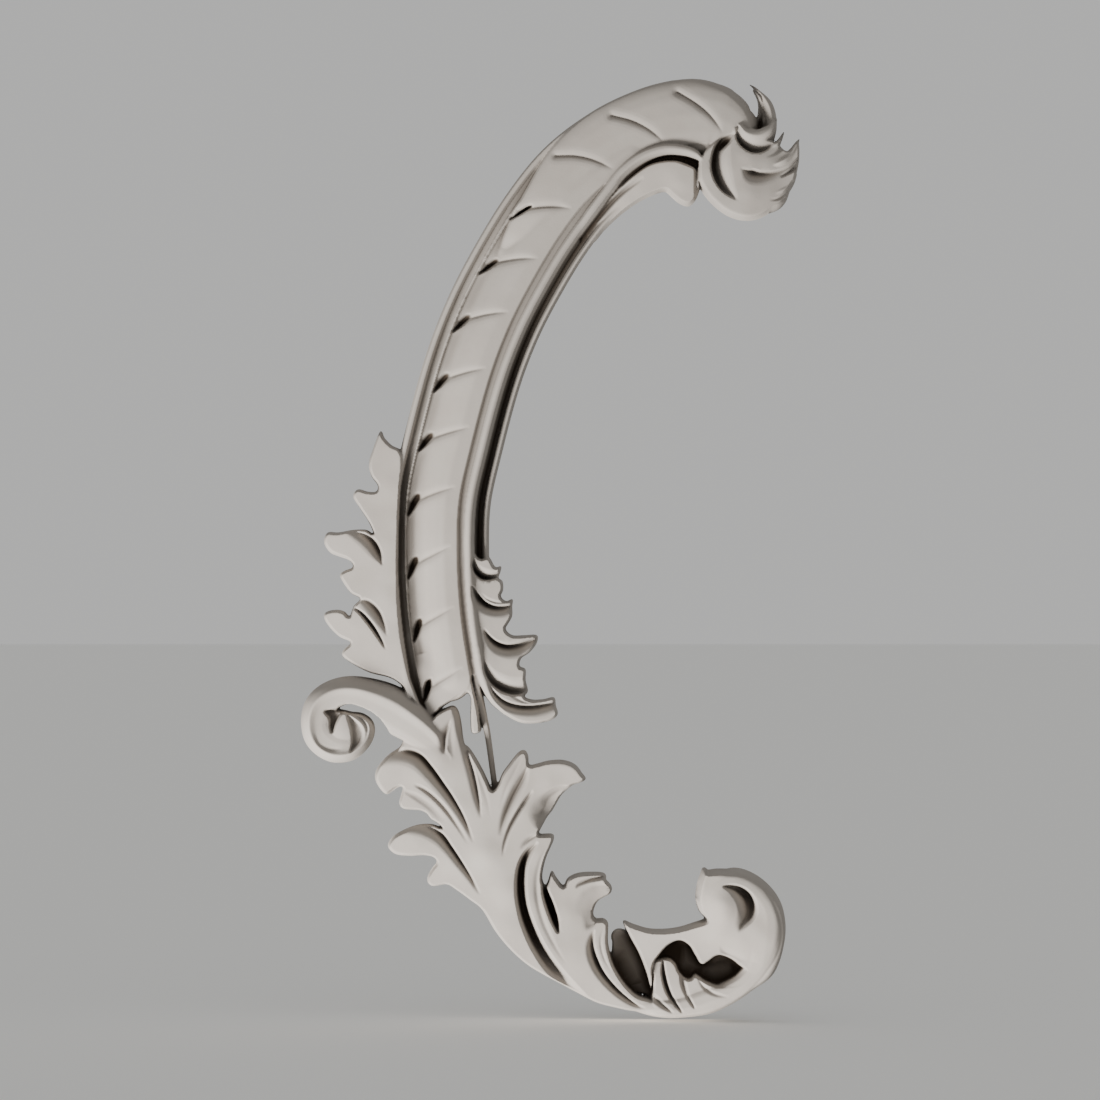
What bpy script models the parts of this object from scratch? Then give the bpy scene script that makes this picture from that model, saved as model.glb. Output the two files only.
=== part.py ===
"""A left-hand rococo scroll onlay, cast in one piece, with a flat back that is glued or pinned to a panel.

A long moulded arm, its band cut with slanting nicks, ends above in a flame-like head and stands below on an
acanthus scroll: a small volute to the left, sprays of leaf, and a large volute with a round eye to the right.
The front looks along -Y, the back lies in the plane y = 0, and Z is up. Lengths are in metres.

The free carving is drawn on squared paper. A knot is (across, down, width, height): where a rib of the carving
runs and how wide it is, in squares, and how high its crest stands, in hundredths of the full relief.
"""

import math

import bmesh
import bpy
import numpy as np

# Driving sizes.
ONLAY_HEIGHT = 0.463
RELIEF = 0.034
BACK_TRIM = 0.004

# The squared paper: how many squares the onlay is high, and the square that lies on the origin.
SQUARES_HIGH = 771
SQUARE = ONLAY_HEIGHT / SQUARES_HIGH
ORIGIN_SQUARE = (231, 560)

# Members of the moulded arm, from its outer edge to its inner edge.
RIM_WIDTH = 0.0048
COVE_WIDTH = 0.0054
BAND_WIDTH = 0.0246
QUIRK_WIDTH = 0.0018
RIDGE_WIDTH = 0.0060
SLOT_WIDTH = 0.0030
BEAD_WIDTH = 0.0040
BED_OVERLAP = 0.0010
RIM_HEIGHT = 0.0155
COVE_HEIGHT = 0.0080
BAND_HEIGHT = 0.0170
RIDGE_HEIGHT = 0.0190
SLOT_HEIGHT = 0.0035
BEAD_HEIGHT = 0.0095

# Nicks across the band.
NICK_COUNT = 12
NICK_FIRST = 0.022
NICK_LAST_BEFORE_END = 0.021
NICK_WIDTH = 0.0030
NICK_DEPTH = 0.0045
NICK_RAKE = math.radians(31)
NICK_RAKE_AT_HEAD = math.radians(50)
DRILL_WIDTH = 0.0032
DRILL_LENGTH = 0.0120
DRILL_DEPTH = 0.0110

# Steps that the curves are cut into.
ARM_STEPS = 26
RIB_STEPS = 8
TIP_STEPS = (32, 64)
DOME_SIDES = 20
DOME_STEPS = 5

# The share of its triangles that the joined solid keeps. Most that go lie flat along the seams between ribs.
KEPT_TRIANGLES = 0.40
BACK_SLACK = 0.00015
SHARP_ANGLE = math.radians(38)

PLASTER_COLOUR = (0.62, 0.60, 0.58, 1.0)
PLASTER_ROUGHNESS = 0.75

# Cross sections: how far across from the left (-1) to the right (+1) of the way the rib runs, and the share of
# the crest's height there.
ROUND = ((-1, 0.62), (-0.6, 0.90), (0, 1.0), (0.6, 0.90), (1, 0.62))
FLAT = ((-1, 0.86), (-0.8, 0.98), (0, 1.0), (0.8, 0.98), (1, 0.86))
KEEL = ((-1, 0.66), (-0.45, 0.88), (0, 1.0), (0.45, 0.88), (1, 0.66))
RIGHT_CREST = ((-1, 0.78), (-0.6, 0.88), (-0.05, 0.92), (0.35, 1.0), (0.7, 0.80), (1, 0.50))
LEFT_CREST = tuple((-across, share) for across, share in reversed(RIGHT_CREST))
SCOOPED = ((-1, 0.92), (-0.78, 1.0), (-0.3, 0.78), (0.3, 0.76), (0.78, 0.98), (1, 0.86))
SWELLING = ((-1, 0.66), (-0.72, 0.86), (-0.3, 0.96), (0.25, 1.0), (0.75, 0.98), (1, 0.93))

# A gouge cut's cross section: across it, and the share of the way up from its floor. It is cut a half wider than
# the width that its knots give, so that its lips lie open.
GOUGE = ((-1.5, 1.0), (-0.8, 0.30), (-0.3, 0.0), (0.3, 0.0), (0.8, 0.30), (1.5, 1.0))
GOUGE_TOP = 1.3 * RELIEF

# The arm's line, up the middle of its band.
ARM_LINE = ((247, 706), (240, 668), (231, 612), (227.5, 560), (229, 510), (239, 463), (254, 407), (270, 364),
            (289, 326), (315, 283), (343, 248), (376, 223), (410, 207), (440, 200))

# Where the arm's members start, and where they sink into the head, as shares of the arm's length.
BAND_START = 0.048
GROUND_START = 0.075
RIM_END = 0.80
GROUND_END = 0.93
RIDGE_END = 0.90
BEAD_START = 0.235
BEAD_END = 0.93

# The crown is the band's wide end, which rolls over into the head.
CROWN = ((318, 266, 34, 49), (338, 240, 46, 50), (368, 216, 53, 51), (404, 199, 55, 52), (436, 193, 57, 52),
         (458, 195, 54, 51), (475, 201, 40, 47))
RIDGE_TO_HEAD = ((384, 242, 10, 56), (400, 230, 11, 57), (417, 225, 11, 57), (432, 226, 11, 56), (443, 232, 9, 54),
                 (450, 240, 6, 52))
NECK_WEB = ((380, 262, 14, 26), (402, 246, 20, 26), (422, 239, 28, 26), (446, 235, 42, 26), (470, 231, 42, 26))
BAND_HEEL = ((233, 650, 24, 47), (229, 668, 20, 46), (224, 687, 10, 40))
FOOT_WEB = ((208, 625, 14, 24), (212, 650, 18, 24), (219, 675, 22, 24), (228, 695, 18, 24))
LOWER_TONGUE = ((254, 650, 12, 47), (258, 674, 10, 47), (261, 690, 9, 45), (262, 702, 9, 42))
LOWER_LINK = ((262, 655, 9, 38), (266, 684, 10, 30), (271, 714, 10, 20), (277, 752, 9, 16))
KNOB_AT_HEAD = ((396, 256, 12, 30), (414, 250, 18, 36), (430, 252, 26, 40), (441, 254, 22, 40))

# The leaf outside the arm, on its left: the body, then each finger from its root to its tip.
OUTER_LEAF = {
    "body": (LEFT_CREST, ((219, 686, 4, 44), (206, 663, 13, 46), (195, 633, 19, 48), (189, 598, 20, 49),
                          (188, 560, 20, 49), (190, 520, 20, 49), (194, 488, 18, 48), (200, 462, 9, 46))),
    "top_finger": (ROUND, ((192, 535, 18, 44), (188, 505, 26, 46), (186, 482, 27, 46), (185, 468, 14, 43),
                           (182.5, 456, 3, 36))),
    "top_barb": (RIGHT_CREST, ((191, 552, 14, 42), (182, 527, 18, 43), (172, 513, 16, 40), (162, 507, 7, 34))),
    "long_finger": (RIGHT_CREST, ((198, 618, 14, 44), (187, 586, 24, 46), (173, 562, 26, 47), (156, 549, 23, 46),
                                  (143, 545, 17, 42))),
    "long_barb": (ROUND, ((194, 614, 14, 40), (180, 593, 20, 42), (164, 580, 20, 40), (151, 573, 9, 33))),
    "mid_finger": (KEEL, ((199, 640, 8, 38), (184, 616, 16, 38), (171, 600, 15, 35), (163, 600, 8, 30))),
    "low_finger": (RIGHT_CREST, ((207, 660, 12, 43), (190, 637, 22, 45), (171, 621, 24, 45), (153, 611, 19, 43),
                                 (142, 606, 12, 39))),
    "low_barb": (ROUND, ((212, 672, 10, 40), (195, 655, 18, 42), (173, 643, 20, 41), (155, 637, 12, 35))),
    "web": (FLAT, ((190, 580, 12, 30), (178, 554, 20, 30), (164, 542, 8, 28))),
}

# The leaf inside the arm, on its right.
INNER_LEAF = {
    "low_claw": (LEFT_CREST, ((259, 600, 8, 52), (263, 640, 10, 52), (271, 668, 11, 50), (286, 683, 13, 48),
                              (307, 689, 11, 46), (325, 687, 7, 40))),
    "low_claw_lip": (ROUND, ((266, 640, 8, 46), (278, 663, 9, 44), (293, 674, 9, 42), (310, 677, 7, 40),
                             (325, 675, 4, 36))),
    "low_claw_bed": (FLAT, ((270, 655, 10, 26), (290, 678, 16, 22), (310, 683, 13, 20), (323, 681, 9, 20))),
    "fourth_claw": (LEFT_CREST, ((260, 610, 8, 48), (268, 632, 14, 46), (281, 644, 16, 44), (298, 645, 13, 40))),
    "fourth_claw_lip": (ROUND, ((264, 625, 7, 46), (272, 650, 8, 44), (287, 667, 9, 42), (302, 668, 8, 38))),
    "fourth_claw_bed": (FLAT, ((266, 640, 10, 28), (280, 656, 18, 26), (300, 657, 17, 26))),
    "third_claw": (LEFT_CREST, ((256, 585, 6, 48), (263, 603, 12, 46), (274, 612, 18, 44), (288, 609, 17, 40))),
    "third_claw_lip": (ROUND, ((258, 595, 6, 46), (269, 615, 8, 44), (284, 625, 8, 43), (300, 624, 7, 41),
                               (312, 622, 3, 37))),
    "third_claw_bed": (FLAT, ((262, 612, 10, 28), (276, 629, 15, 24), (292, 632, 14, 22), (308, 628, 9, 22))),
    "second_claw": (LEFT_CREST, ((254, 560, 6, 48), (260, 574, 12, 46), (270, 582, 17, 43), (281, 582, 14, 38))),
    "second_claw_lip": (ROUND, ((256, 575, 5, 46), (266, 591, 7, 44), (279, 597, 7, 42), (292, 595, 4, 36))),
    "second_claw_bed": (FLAT, ((258, 586, 10, 28), (268, 596, 18, 24), (287, 597, 12, 22))),
    "first_claw": (ROUND, ((255, 540, 5, 48), (261, 555, 8, 46), (270, 561, 9, 43), (281, 565, 4, 37))),
    "first_claw_bed": (FLAT, ((256, 558, 8, 28), (265, 568, 14, 24), (279, 569, 11, 22))),
}

# The head at the top of the arm.
HEAD = {
    "bed": (FLAT, ((448, 243, 40, 24), (468, 240, 66, 26), (490, 240, 70, 26), (508, 240, 44, 22))),
    "lip": (ROUND, ((474, 214, 6, 50), (459, 221, 11, 56), (450, 238, 14, 60), (453, 256, 15, 60), (466, 269, 17, 58),
                    (484, 274, 15, 54), (500, 270, 9, 46))),
    "upper_crescent": (ROUND, ((474, 202, 12, 46), (484, 209, 14, 52), (496, 208, 13, 52), (505, 201, 5, 44))),
    "first_flame": (KEEL, ((484, 224, 12, 58), (496, 223, 13, 54), (507, 217, 10, 48), (514, 208, 3, 40))),
    "second_flame": (ROUND, ((468, 230, 20, 60), (484, 233, 27, 61), (502, 236, 20, 56), (517, 229, 14, 46),
                             (527, 215, 3, 38))),
    "third_flame": (LEFT_CREST, ((472, 254, 14, 58), (492, 257, 17, 55), (510, 253, 14, 47), (524, 241, 3, 38))),
    "fourth_flame": (KEEL, ((474, 268, 16, 56), (493, 269, 15, 50), (507, 264, 11, 42), (519, 256, 3, 36))),
    "back_leaf": (KEEL, ((499, 214, 8, 38), (505, 199, 10, 38), (501, 184, 10, 34), (489, 171, 3, 26))),
    "neck": (ROUND, ((478, 208, 24, 44), (474, 222, 22, 46), (470, 238, 14, 46))),
}

# The lower scroll: the stem that curls into the small volute, and the fingers of leaf to its left.
LOWER_SCROLL = {
    "stem": (RIGHT_CREST, ((302, 862, 16, 44), (281, 815, 18, 46), (262, 766, 20, 50), (241, 728, 26, 56),
                           (213, 697, 34, 62), (187, 680, 38, 65), (163, 670, 31, 67), (146, 671, 27, 68))),
    "volute_turn": (ROUND, ((168, 671, 28, 66), (147, 670, 28, 68), (130, 681, 26, 70), (127, 698, 23, 72),
                            (134, 713, 20, 73), (149, 719, 17, 72), (163, 713, 14, 70), (171, 700, 13, 68),
                            (168, 690, 12, 64))),
    "volute_bed": (FLAT, ((134, 700, 30, 34), (150, 699, 40, 34), (166, 700, 26, 34))),
    "volute_petal": (KEEL, ((149, 714, 20, 66), (152, 706, 19, 74), (153, 697, 11, 76), (153.5, 688, 3, 72))),
    "upper_finger": (RIGHT_CREST, ((272, 842, 10, 42), (257, 800, 16, 48), (242, 768, 22, 52), (225, 745, 28, 55),
                                   (207, 734, 30, 56), (193, 736, 24, 54), (184, 746, 15, 48))),
    "upper_barb": (ROUND, ((276, 855, 8, 40), (262, 824, 12, 45), (247, 794, 14, 47), (232, 771, 18, 47),
                           (215, 757, 19, 45), (204, 757, 14, 40))),
    "lower_finger": (RIGHT_CREST, ((285, 868, 10, 40), (268, 840, 14, 44), (252, 814, 20, 48), (236, 797, 26, 50),
                                   (218, 790, 24, 50), (204, 791, 20, 47), (195, 794, 16, 43))),
    "lower_barb": (ROUND, ((302, 886, 8, 38), (284, 862, 14, 42), (264, 836, 18, 44), (243, 821, 20, 43),
                           (228, 820, 14, 37))),
}

# The spray in the middle of the lower scroll, and its body.
MIDDLE_SPRAY = {
    "body": (ROUND, ((376, 928, 5, 52), (347, 914, 11, 54), (321, 896, 15, 55), (300, 876, 20, 55), (287, 853, 26, 54),
                     (280, 826, 28, 53), (278, 797, 28, 52), (275, 770, 20, 49), (274, 750, 9, 42))),
    "side_web": (FLAT, ((322, 898, 8, 28), (298, 866, 22, 30), (276, 832, 36, 32), (267, 798, 38, 34),
                        (262, 765, 34, 34))),
    "root_bed": (FLAT, ((372, 922, 8, 12), (338, 894, 30, 14), (312, 856, 44, 15), (298, 815, 40, 15),
                        (288, 775, 34, 15))),
    "curled_tip": (ROUND, ((256, 752, 8, 46), (249, 727, 15, 52), (243, 707, 18, 54), (240.5, 691, 18, 50))),
    "left_spike": (KEEL, ((274, 794, 8, 46), (267, 765, 13, 50), (259, 740, 14, 49), (253, 722, 9, 45),
                          (251, 713, 3, 40))),
    "right_spike": (KEEL, ((272, 795, 8, 48), (276, 770, 16, 50), (286, 747, 17, 51), (296, 728, 11, 48),
                           (302, 717, 3, 42))),
    "fan_hollow": (SCOOPED, ((284, 815, 14, 48), (286, 784, 18, 46), (295, 757, 20, 43), (305, 738, 16, 40),
                             (309, 730, 8, 36))),
    "fan_finger": (LEFT_CREST, ((290, 815, 14, 50), (297, 788, 24, 52), (309, 763, 29, 53), (323, 745, 32, 55),
                                (336, 737, 28, 56), (343, 738, 22, 52))),
    "hood": (ROUND, ((293, 815, 8, 50), (298, 800, 9, 52), (308, 791, 9, 52), (321, 789, 8, 47))),
    "strap": (LEFT_CREST, ((385, 929, 6, 52), (352, 910, 13, 54), (329, 886, 15, 55), (314, 860, 15, 55),
                           (309.5, 835, 14, 54), (312, 811, 14, 52), (320, 793, 12, 47))),
    "thorn": (KEEL, ((378, 924, 8, 50), (352, 901, 20, 53), (339, 876, 22, 53), (334, 850, 16, 50), (328, 831, 10, 46),
                     (324, 816, 3, 38))),
    "round_finger": (SCOOPED, ((356, 908, 14, 48), (346, 880, 20, 52), (345, 856, 22, 54), (351, 839, 22, 53),
                               (361, 831, 17, 49), (367, 830, 13, 45))),
    "round_finger_edge": (ROUND, ((337, 860, 8, 50), (340, 838, 9, 54), (349, 823, 9, 54), (366, 818, 4, 46))),
    "inner_strap": (ROUND, ((406, 920, 6, 50), (391, 912, 9, 53), (377, 898, 11, 54), (367, 880, 12, 54),
                            (364, 868, 11, 52), (366, 861, 8, 48))),
    "slot_bed": (FLAT, ((345, 880, 14, 22), (328, 852, 16, 14), (319, 829, 10, 12))),
    "strap_bed": (FLAT, ((352, 856, 18, 20), (359, 878, 30, 22), (368, 902, 20, 26), (388, 918, 12, 32))),
    "hollow_bed": (KEEL, ((414, 922, 12, 16), (398, 902, 34, 20), (386, 882, 32, 20), (379, 870, 16, 16))),
}

# The large volute at the bottom right.
LARGE_VOLUTE = {
    "ring_lower": (ROUND, ((345, 913, 10, 52), (374, 924, 13, 55), (400, 926, 18, 59), (426, 927, 21, 63),
                           (452, 921, 23, 68), (475, 909, 26, 73), (492, 890, 30, 78))),
    "ring_upper": (ROUND, ((478, 905, 26, 73), (494, 887, 31, 79), (501, 866, 32, 84), (499, 846, 28, 88),
                           (489, 831, 22, 90), (474, 824, 19, 90), (460, 826, 20, 88))),
    "cheek": (ROUND, ((450, 862, 22, 74), (464, 867, 36, 84), (481, 868, 42, 87), (496, 866, 34, 87))),
    "collar": (FLAT, ((468, 874, 30, 66), (456, 871, 30, 62), (446, 873, 33, 60), (437, 869, 18, 60),
                      (428, 867, 10, 59), (419, 870, 13, 59), (409, 875, 23, 58), (399, 870, 17, 56),
                      (390, 863, 9, 52), (383, 858, 3, 47))),
    "collar_tail": (ROUND, ((402, 868, 14, 57), (404, 886, 9, 55), (405, 902, 6, 54), (408, 920, 7, 52))),
    "arch_bed": (FLAT, ((398, 906, 28, 10), (426, 896, 56, 10), (450, 902, 48, 12), (474, 898, 36, 16),
                        (490, 890, 16, 20))),
    "pleat_bed": (ROUND, ((396, 912, 12, 46), (418, 916, 22, 52), (440, 918, 24, 54), (462, 914, 20, 58),
                          (484, 902, 16, 64))),
    "first_pleat": (ROUND, ((426, 929, 9, 57), (414, 916, 13, 58), (407, 903, 13, 55), (409, 892, 10, 50))),
    "second_pleat": (ROUND, ((440, 928, 9, 60), (428, 915, 12, 61), (422, 902, 12, 57), (420, 891, 9, 52))),
    "third_pleat": (ROUND, ((456, 924, 9, 62), (444, 914, 12, 63), (436, 905, 10, 58))),
    "sill": (ROUND, ((438, 912, 10, 58), (451, 908, 12, 62), (468, 907, 9, 66), (486, 899, 6, 70))),
}

# Domes: (across, down, radius, height), in the units of a knot.
DOMES = {"volute_eye": (463, 846, 22, 100)}

# Gouge cuts. Their knots give the height of the floor that they leave.
GOUGES = {
    "spray_channel": ((312, 791, 3, 40), (301, 803, 8, 24), (297, 824, 9.5, 18), (298, 846, 9.5, 18),
                      (306, 866, 9, 22), (319, 884, 9, 28), (336, 901, 7, 36), (353, 914, 3, 48)),
    "strap_slot": ((319, 822, 2, 20), (321, 838, 8, 8), (326, 856, 8, 12), (329, 870, 2, 34)),
    "inner_quirk": ((358, 864, 2, 42), (359, 878, 3, 28), (366, 896, 3, 30), (378, 910, 2, 40)),
    "stem_quirk": ((198, 713, 3, 30), (213, 717, 5, 30), (235, 740, 5, 32), (249, 768, 4, 36), (259, 790, 2, 44)),
    "finger_quirk": ((234, 782, 3, 30), (245, 801, 4, 32), (258, 822, 3, 38), (268, 842, 2, 46)),
    "barb_quirk": ((218, 749, 2, 44), (237, 768, 3, 42), (252, 795, 3, 44), (263, 822, 2, 48)),
    "spike_quirk": ((252, 724, 2, 38), (258, 745, 4, 34), (262, 765, 3, 38), (265, 786, 2, 46)),
    "fan_quirk": ((309, 748, 2, 42), (300, 765, 4, 38), (290, 788, 3, 42), (284, 812, 2, 48)),
    "fan_dip": ((304, 774, 6, 47), (316, 760, 18, 36), (328, 749, 8, 48)),
    "petal_hook": ((139, 684, 4, 44), (143, 689, 9, 34), (145, 700, 3, 48)),
    "petal_hook_arm": ((141, 685, 6, 36), (148, 685, 5, 38), (154, 685, 2, 56)),
    "volute_scoop": ((160, 690, 3, 58), (165, 698, 10, 44), (166, 708, 8, 46), (161, 716, 3, 60)),
    "large_eye_scoop": ((468, 827, 4, 84), (480, 831, 10, 60), (487, 843, 11, 56), (483, 854, 7, 70), (477, 859, 3, 86)),
    "arch_scoop": ((444, 894, 2, 40), (454, 896, 9, 26), (465, 896, 12, 20), (478, 897, 8, 28), (489, 898, 2, 60)),
    "head_crescent": ((468, 215, 4, 36), (460, 226, 8, 26), (459, 243, 11, 22), (465, 257, 9, 28), (475, 265, 3, 46)),
    "head_cup": ((477, 208, 3, 42), (480, 217, 7, 32), (490, 221, 7, 32), (500, 217, 3, 44)),
    "head_comma": ((479, 243, 3, 48), (487, 247, 10, 36), (502, 246, 8, 38), (517, 239, 3, 38)),
    "band_notch": ((253, 668, 3, -12), (254, 680, 8, -12), (253, 698, 9, -12), (252, 711, 3, -12)),
    "outer_quirk": ((165, 601, 2, 34), (174, 612, 3, 30), (187, 632, 2, 40)),
    "outer_facet": ((161, 540, 2, 36), (173, 550, 5, 30), (184, 564, 2, 40)),
}


def on_panel(across, down, height):
    """The point at a square of the drawing and a height, in metres, above the back."""
    return ((across - ORIGIN_SQUARE[0]) * SQUARE, -height, (ORIGIN_SQUARE[1] - down) * SQUARE)


def flow(knots, distances=None, steps=RIB_STEPS):
    """Rows on a smooth Catmull-Rom curve through the knots, at the given distances along it or at even steps."""
    rows = np.array(knots, float)
    ends = 2 * rows[[0, -1]] - rows[[1, -2]]
    padded = np.vstack([ends[:1], rows, ends[1:]])
    share = np.linspace(0, 1, 17)[:-1, None]
    spans = []
    for before, start, end, after in zip(padded, padded[1:], padded[2:], padded[3:]):
        spans.append(0.5 * (2 * start + (end - before) * share
                            + (2 * before - 5 * start + 4 * end - after) * share ** 2
                            + (3 * start - before - 3 * end + after) * share ** 3))
    fine = np.vstack(spans + [rows[-1:]])
    run = np.concatenate([[0], np.cumsum(np.hypot(*np.diff(fine[:, :2], axis=0).T))])
    if distances is None:
        distances = np.linspace(0, run[-1], steps)
    else:
        distances = np.array(distances) * run[-1]
    return np.stack([np.interp(distances, run, column) for column in fine.T], axis=1), run[-1]


def sides(path):
    """Unit vectors to the right of the way that a path runs."""
    along = np.gradient(path, axis=0)
    along /= np.linalg.norm(along, axis=1)[:, None]
    return np.stack([-along[:, 1], along[:, 0]], axis=1)


def sweep(name, path, widths, heights, section, closing):
    """A closed mesh object: a section carried along a path, and closed by a plane at the closing height."""
    right = sides(path)
    bm = bmesh.new()
    rings = []
    for centre, side, width, height in zip(path, right, widths, heights):
        edge = [(section[-1][0], closing), (section[0][0], closing)]
        profile = [(across, share * height) for across, share in section] + edge
        rings.append([bm.verts.new(on_panel(*(centre + side * across * width / 2), level))
                      for across, level in profile])
    for ring, following in zip(rings, rings[1:]):
        for i, corner in enumerate(ring):
            bm.faces.new((ring[i - 1], corner, following[i], following[i - 1]))
    bm.faces.new(rings[0])
    bm.faces.new(reversed(rings[-1]))
    bmesh.ops.triangulate(bm, faces=bm.faces)
    bmesh.ops.recalc_face_normals(bm, faces=bm.faces)
    return mesh_object(name, bm)


def mesh_object(name, bm):
    mesh = bpy.data.meshes.new(name)
    bm.to_mesh(mesh)
    bm.free()
    return bpy.data.objects.new(name, mesh)


def rounded_rows(knots, steps=RIB_STEPS):
    """Rows along a rib whose last half width is rounded off, like a fingertip, in the drawing and in height."""
    last = knots[-1]
    rows, length = flow(knots)
    radius = min(last[2] / 2, length / 3)
    start = (length - radius * 0.2) / length
    body = np.linspace(0, start, steps)
    rows, _ = flow(knots, body)
    tip = rows[-1]
    heading = rows[-1, :2] - rows[-2, :2]
    heading /= np.linalg.norm(heading)
    turned = []
    for degrees in TIP_STEPS:
        angle = math.radians(degrees)
        shrink = math.cos(angle)
        centre = tip[:2] + heading * radius * math.sin(angle)
        turned.append([*centre, tip[2] * shrink, tip[3] * (0.72 + 0.28 * shrink)])
    return np.vstack([rows, turned])


def rib(name, knots, section, collection, steps=RIB_STEPS):
    """One rib of carving, from the back plane to its crest."""
    rows = rounded_rows(knots, steps)
    heights = rows[:, 3] / 100 * RELIEF
    collection.objects.link(sweep(name, rows[:, :2], rows[:, 2], heights, section, -BACK_TRIM))


def gouge(name, knots, collection):
    """A cutter that leaves a rounded floor at its knots' heights, and reaches above the carving."""
    rows, _ = flow(knots)
    floor = rows[:, 3] / 100 * RELIEF
    path, right = rows[:, :2], sides(rows[:, :2])
    bm = bmesh.new()
    rings = []
    for centre, side, width, low in zip(path, right, rows[:, 2], floor):
        bite = min(width * SQUARE * 1.4, GOUGE_TOP - low)
        profile = [(across, low + share * bite) for across, share in GOUGE]
        profile += [(GOUGE[-1][0], GOUGE_TOP), (GOUGE[0][0], GOUGE_TOP)]
        rings.append([bm.verts.new(on_panel(*(centre + side * across * width / 2), level))
                      for across, level in profile])
    for ring, following in zip(rings, rings[1:]):
        for i, corner in enumerate(ring):
            bm.faces.new((ring[i - 1], corner, following[i], following[i - 1]))
    bm.faces.new(rings[0])
    bm.faces.new(reversed(rings[-1]))
    bmesh.ops.triangulate(bm, faces=bm.faces)
    bmesh.ops.recalc_face_normals(bm, faces=bm.faces)
    collection.objects.link(mesh_object(name, bm))


def dome(name, across, down, radius, height, collection):
    """A round boss on a straight foot, turned about its own axis."""
    bm = bmesh.new()
    foot = [on_panel(across + radius * math.cos(a), down + radius * math.sin(a), -BACK_TRIM)
            for a in (2 * math.pi * i / DOME_SIDES for i in range(DOME_SIDES))]
    ring = [bm.verts.new(point) for point in foot]
    bm.faces.new(ring)
    crest = height / 100 * RELIEF
    rise = min(radius * SQUARE * 0.75, crest * 0.8)
    for step in range(DOME_STEPS):
        angle = math.pi / 2 * step / DOME_STEPS
        level = crest - rise + rise * math.sin(angle)
        around = [on_panel(across + radius * math.cos(angle) * math.cos(a),
                           down + radius * math.cos(angle) * math.sin(a), level)
                  for a in (2 * math.pi * i / DOME_SIDES for i in range(DOME_SIDES))]
        following = [bm.verts.new(point) for point in around]
        for i in range(DOME_SIDES):
            bm.faces.new((ring[i - 1], ring[i], following[i], following[i - 1]))
        ring = following
    top = bm.verts.new(on_panel(across, down, crest))
    for i in range(DOME_SIDES):
        bm.faces.new((ring[i - 1], ring[i], top))
    bmesh.ops.triangulate(bm, faces=bm.faces)
    bmesh.ops.recalc_face_normals(bm, faces=bm.faces)
    collection.objects.link(mesh_object(name, bm))


def arm_member(name, offset, width, height, section, start, end, collection=None):
    """One member of the arm's moulding, running beside the arm's line. Sizes are in metres."""
    shares = np.linspace(start, end, max(4, round(ARM_STEPS * (end - start))))
    line, _ = flow(ARM_LINE, shares)
    path = line + sides(line) * offset / SQUARE
    ones = np.ones(len(path))
    member = sweep(name, path, ones * width / SQUARE, ones * height, section, -BACK_TRIM)
    if collection is not None:
        collection.objects.link(member)
    return member


def arm(collection):
    """The moulded arm: a ground, and a rim, a band, a ridge and a bead that stand on it."""
    band_edge = BAND_WIDTH / 2
    rim = -band_edge - COVE_WIDTH - RIM_WIDTH / 2
    ridge = band_edge + QUIRK_WIDTH + RIDGE_WIDTH / 2
    slot = ridge + RIDGE_WIDTH / 2
    bead = slot + SLOT_WIDTH + BEAD_WIDTH / 2
    ground_from, ground_to = rim - RIM_WIDTH / 2, slot
    ground_middle, ground_width = (ground_from + ground_to) / 2, ground_to - ground_from
    bed_from, bed_to = slot - BED_OVERLAP, bead + BED_OVERLAP
    arm_member("ground", ground_middle, ground_width, COVE_HEIGHT, FLAT, GROUND_START, GROUND_END, collection)
    arm_member("rim", rim, RIM_WIDTH, RIM_HEIGHT, ROUND, GROUND_START, RIM_END, collection)
    arm_member("ridge", ridge, RIDGE_WIDTH, RIDGE_HEIGHT, ROUND, GROUND_START, RIDGE_END, collection)
    bed_middle, bed_width = (bed_from + bed_to) / 2, bed_to - bed_from
    arm_member("bead_bed", bed_middle, bed_width, SLOT_HEIGHT, FLAT, BEAD_START, BEAD_END, collection)
    arm_member("bead", bead, BEAD_WIDTH, BEAD_HEIGHT, ROUND, BEAD_START, BEAD_END, collection)
    return arm_member("scroll_onlay", 0, BAND_WIDTH, BAND_HEIGHT, SWELLING, BAND_START, RIDGE_END)


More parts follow.
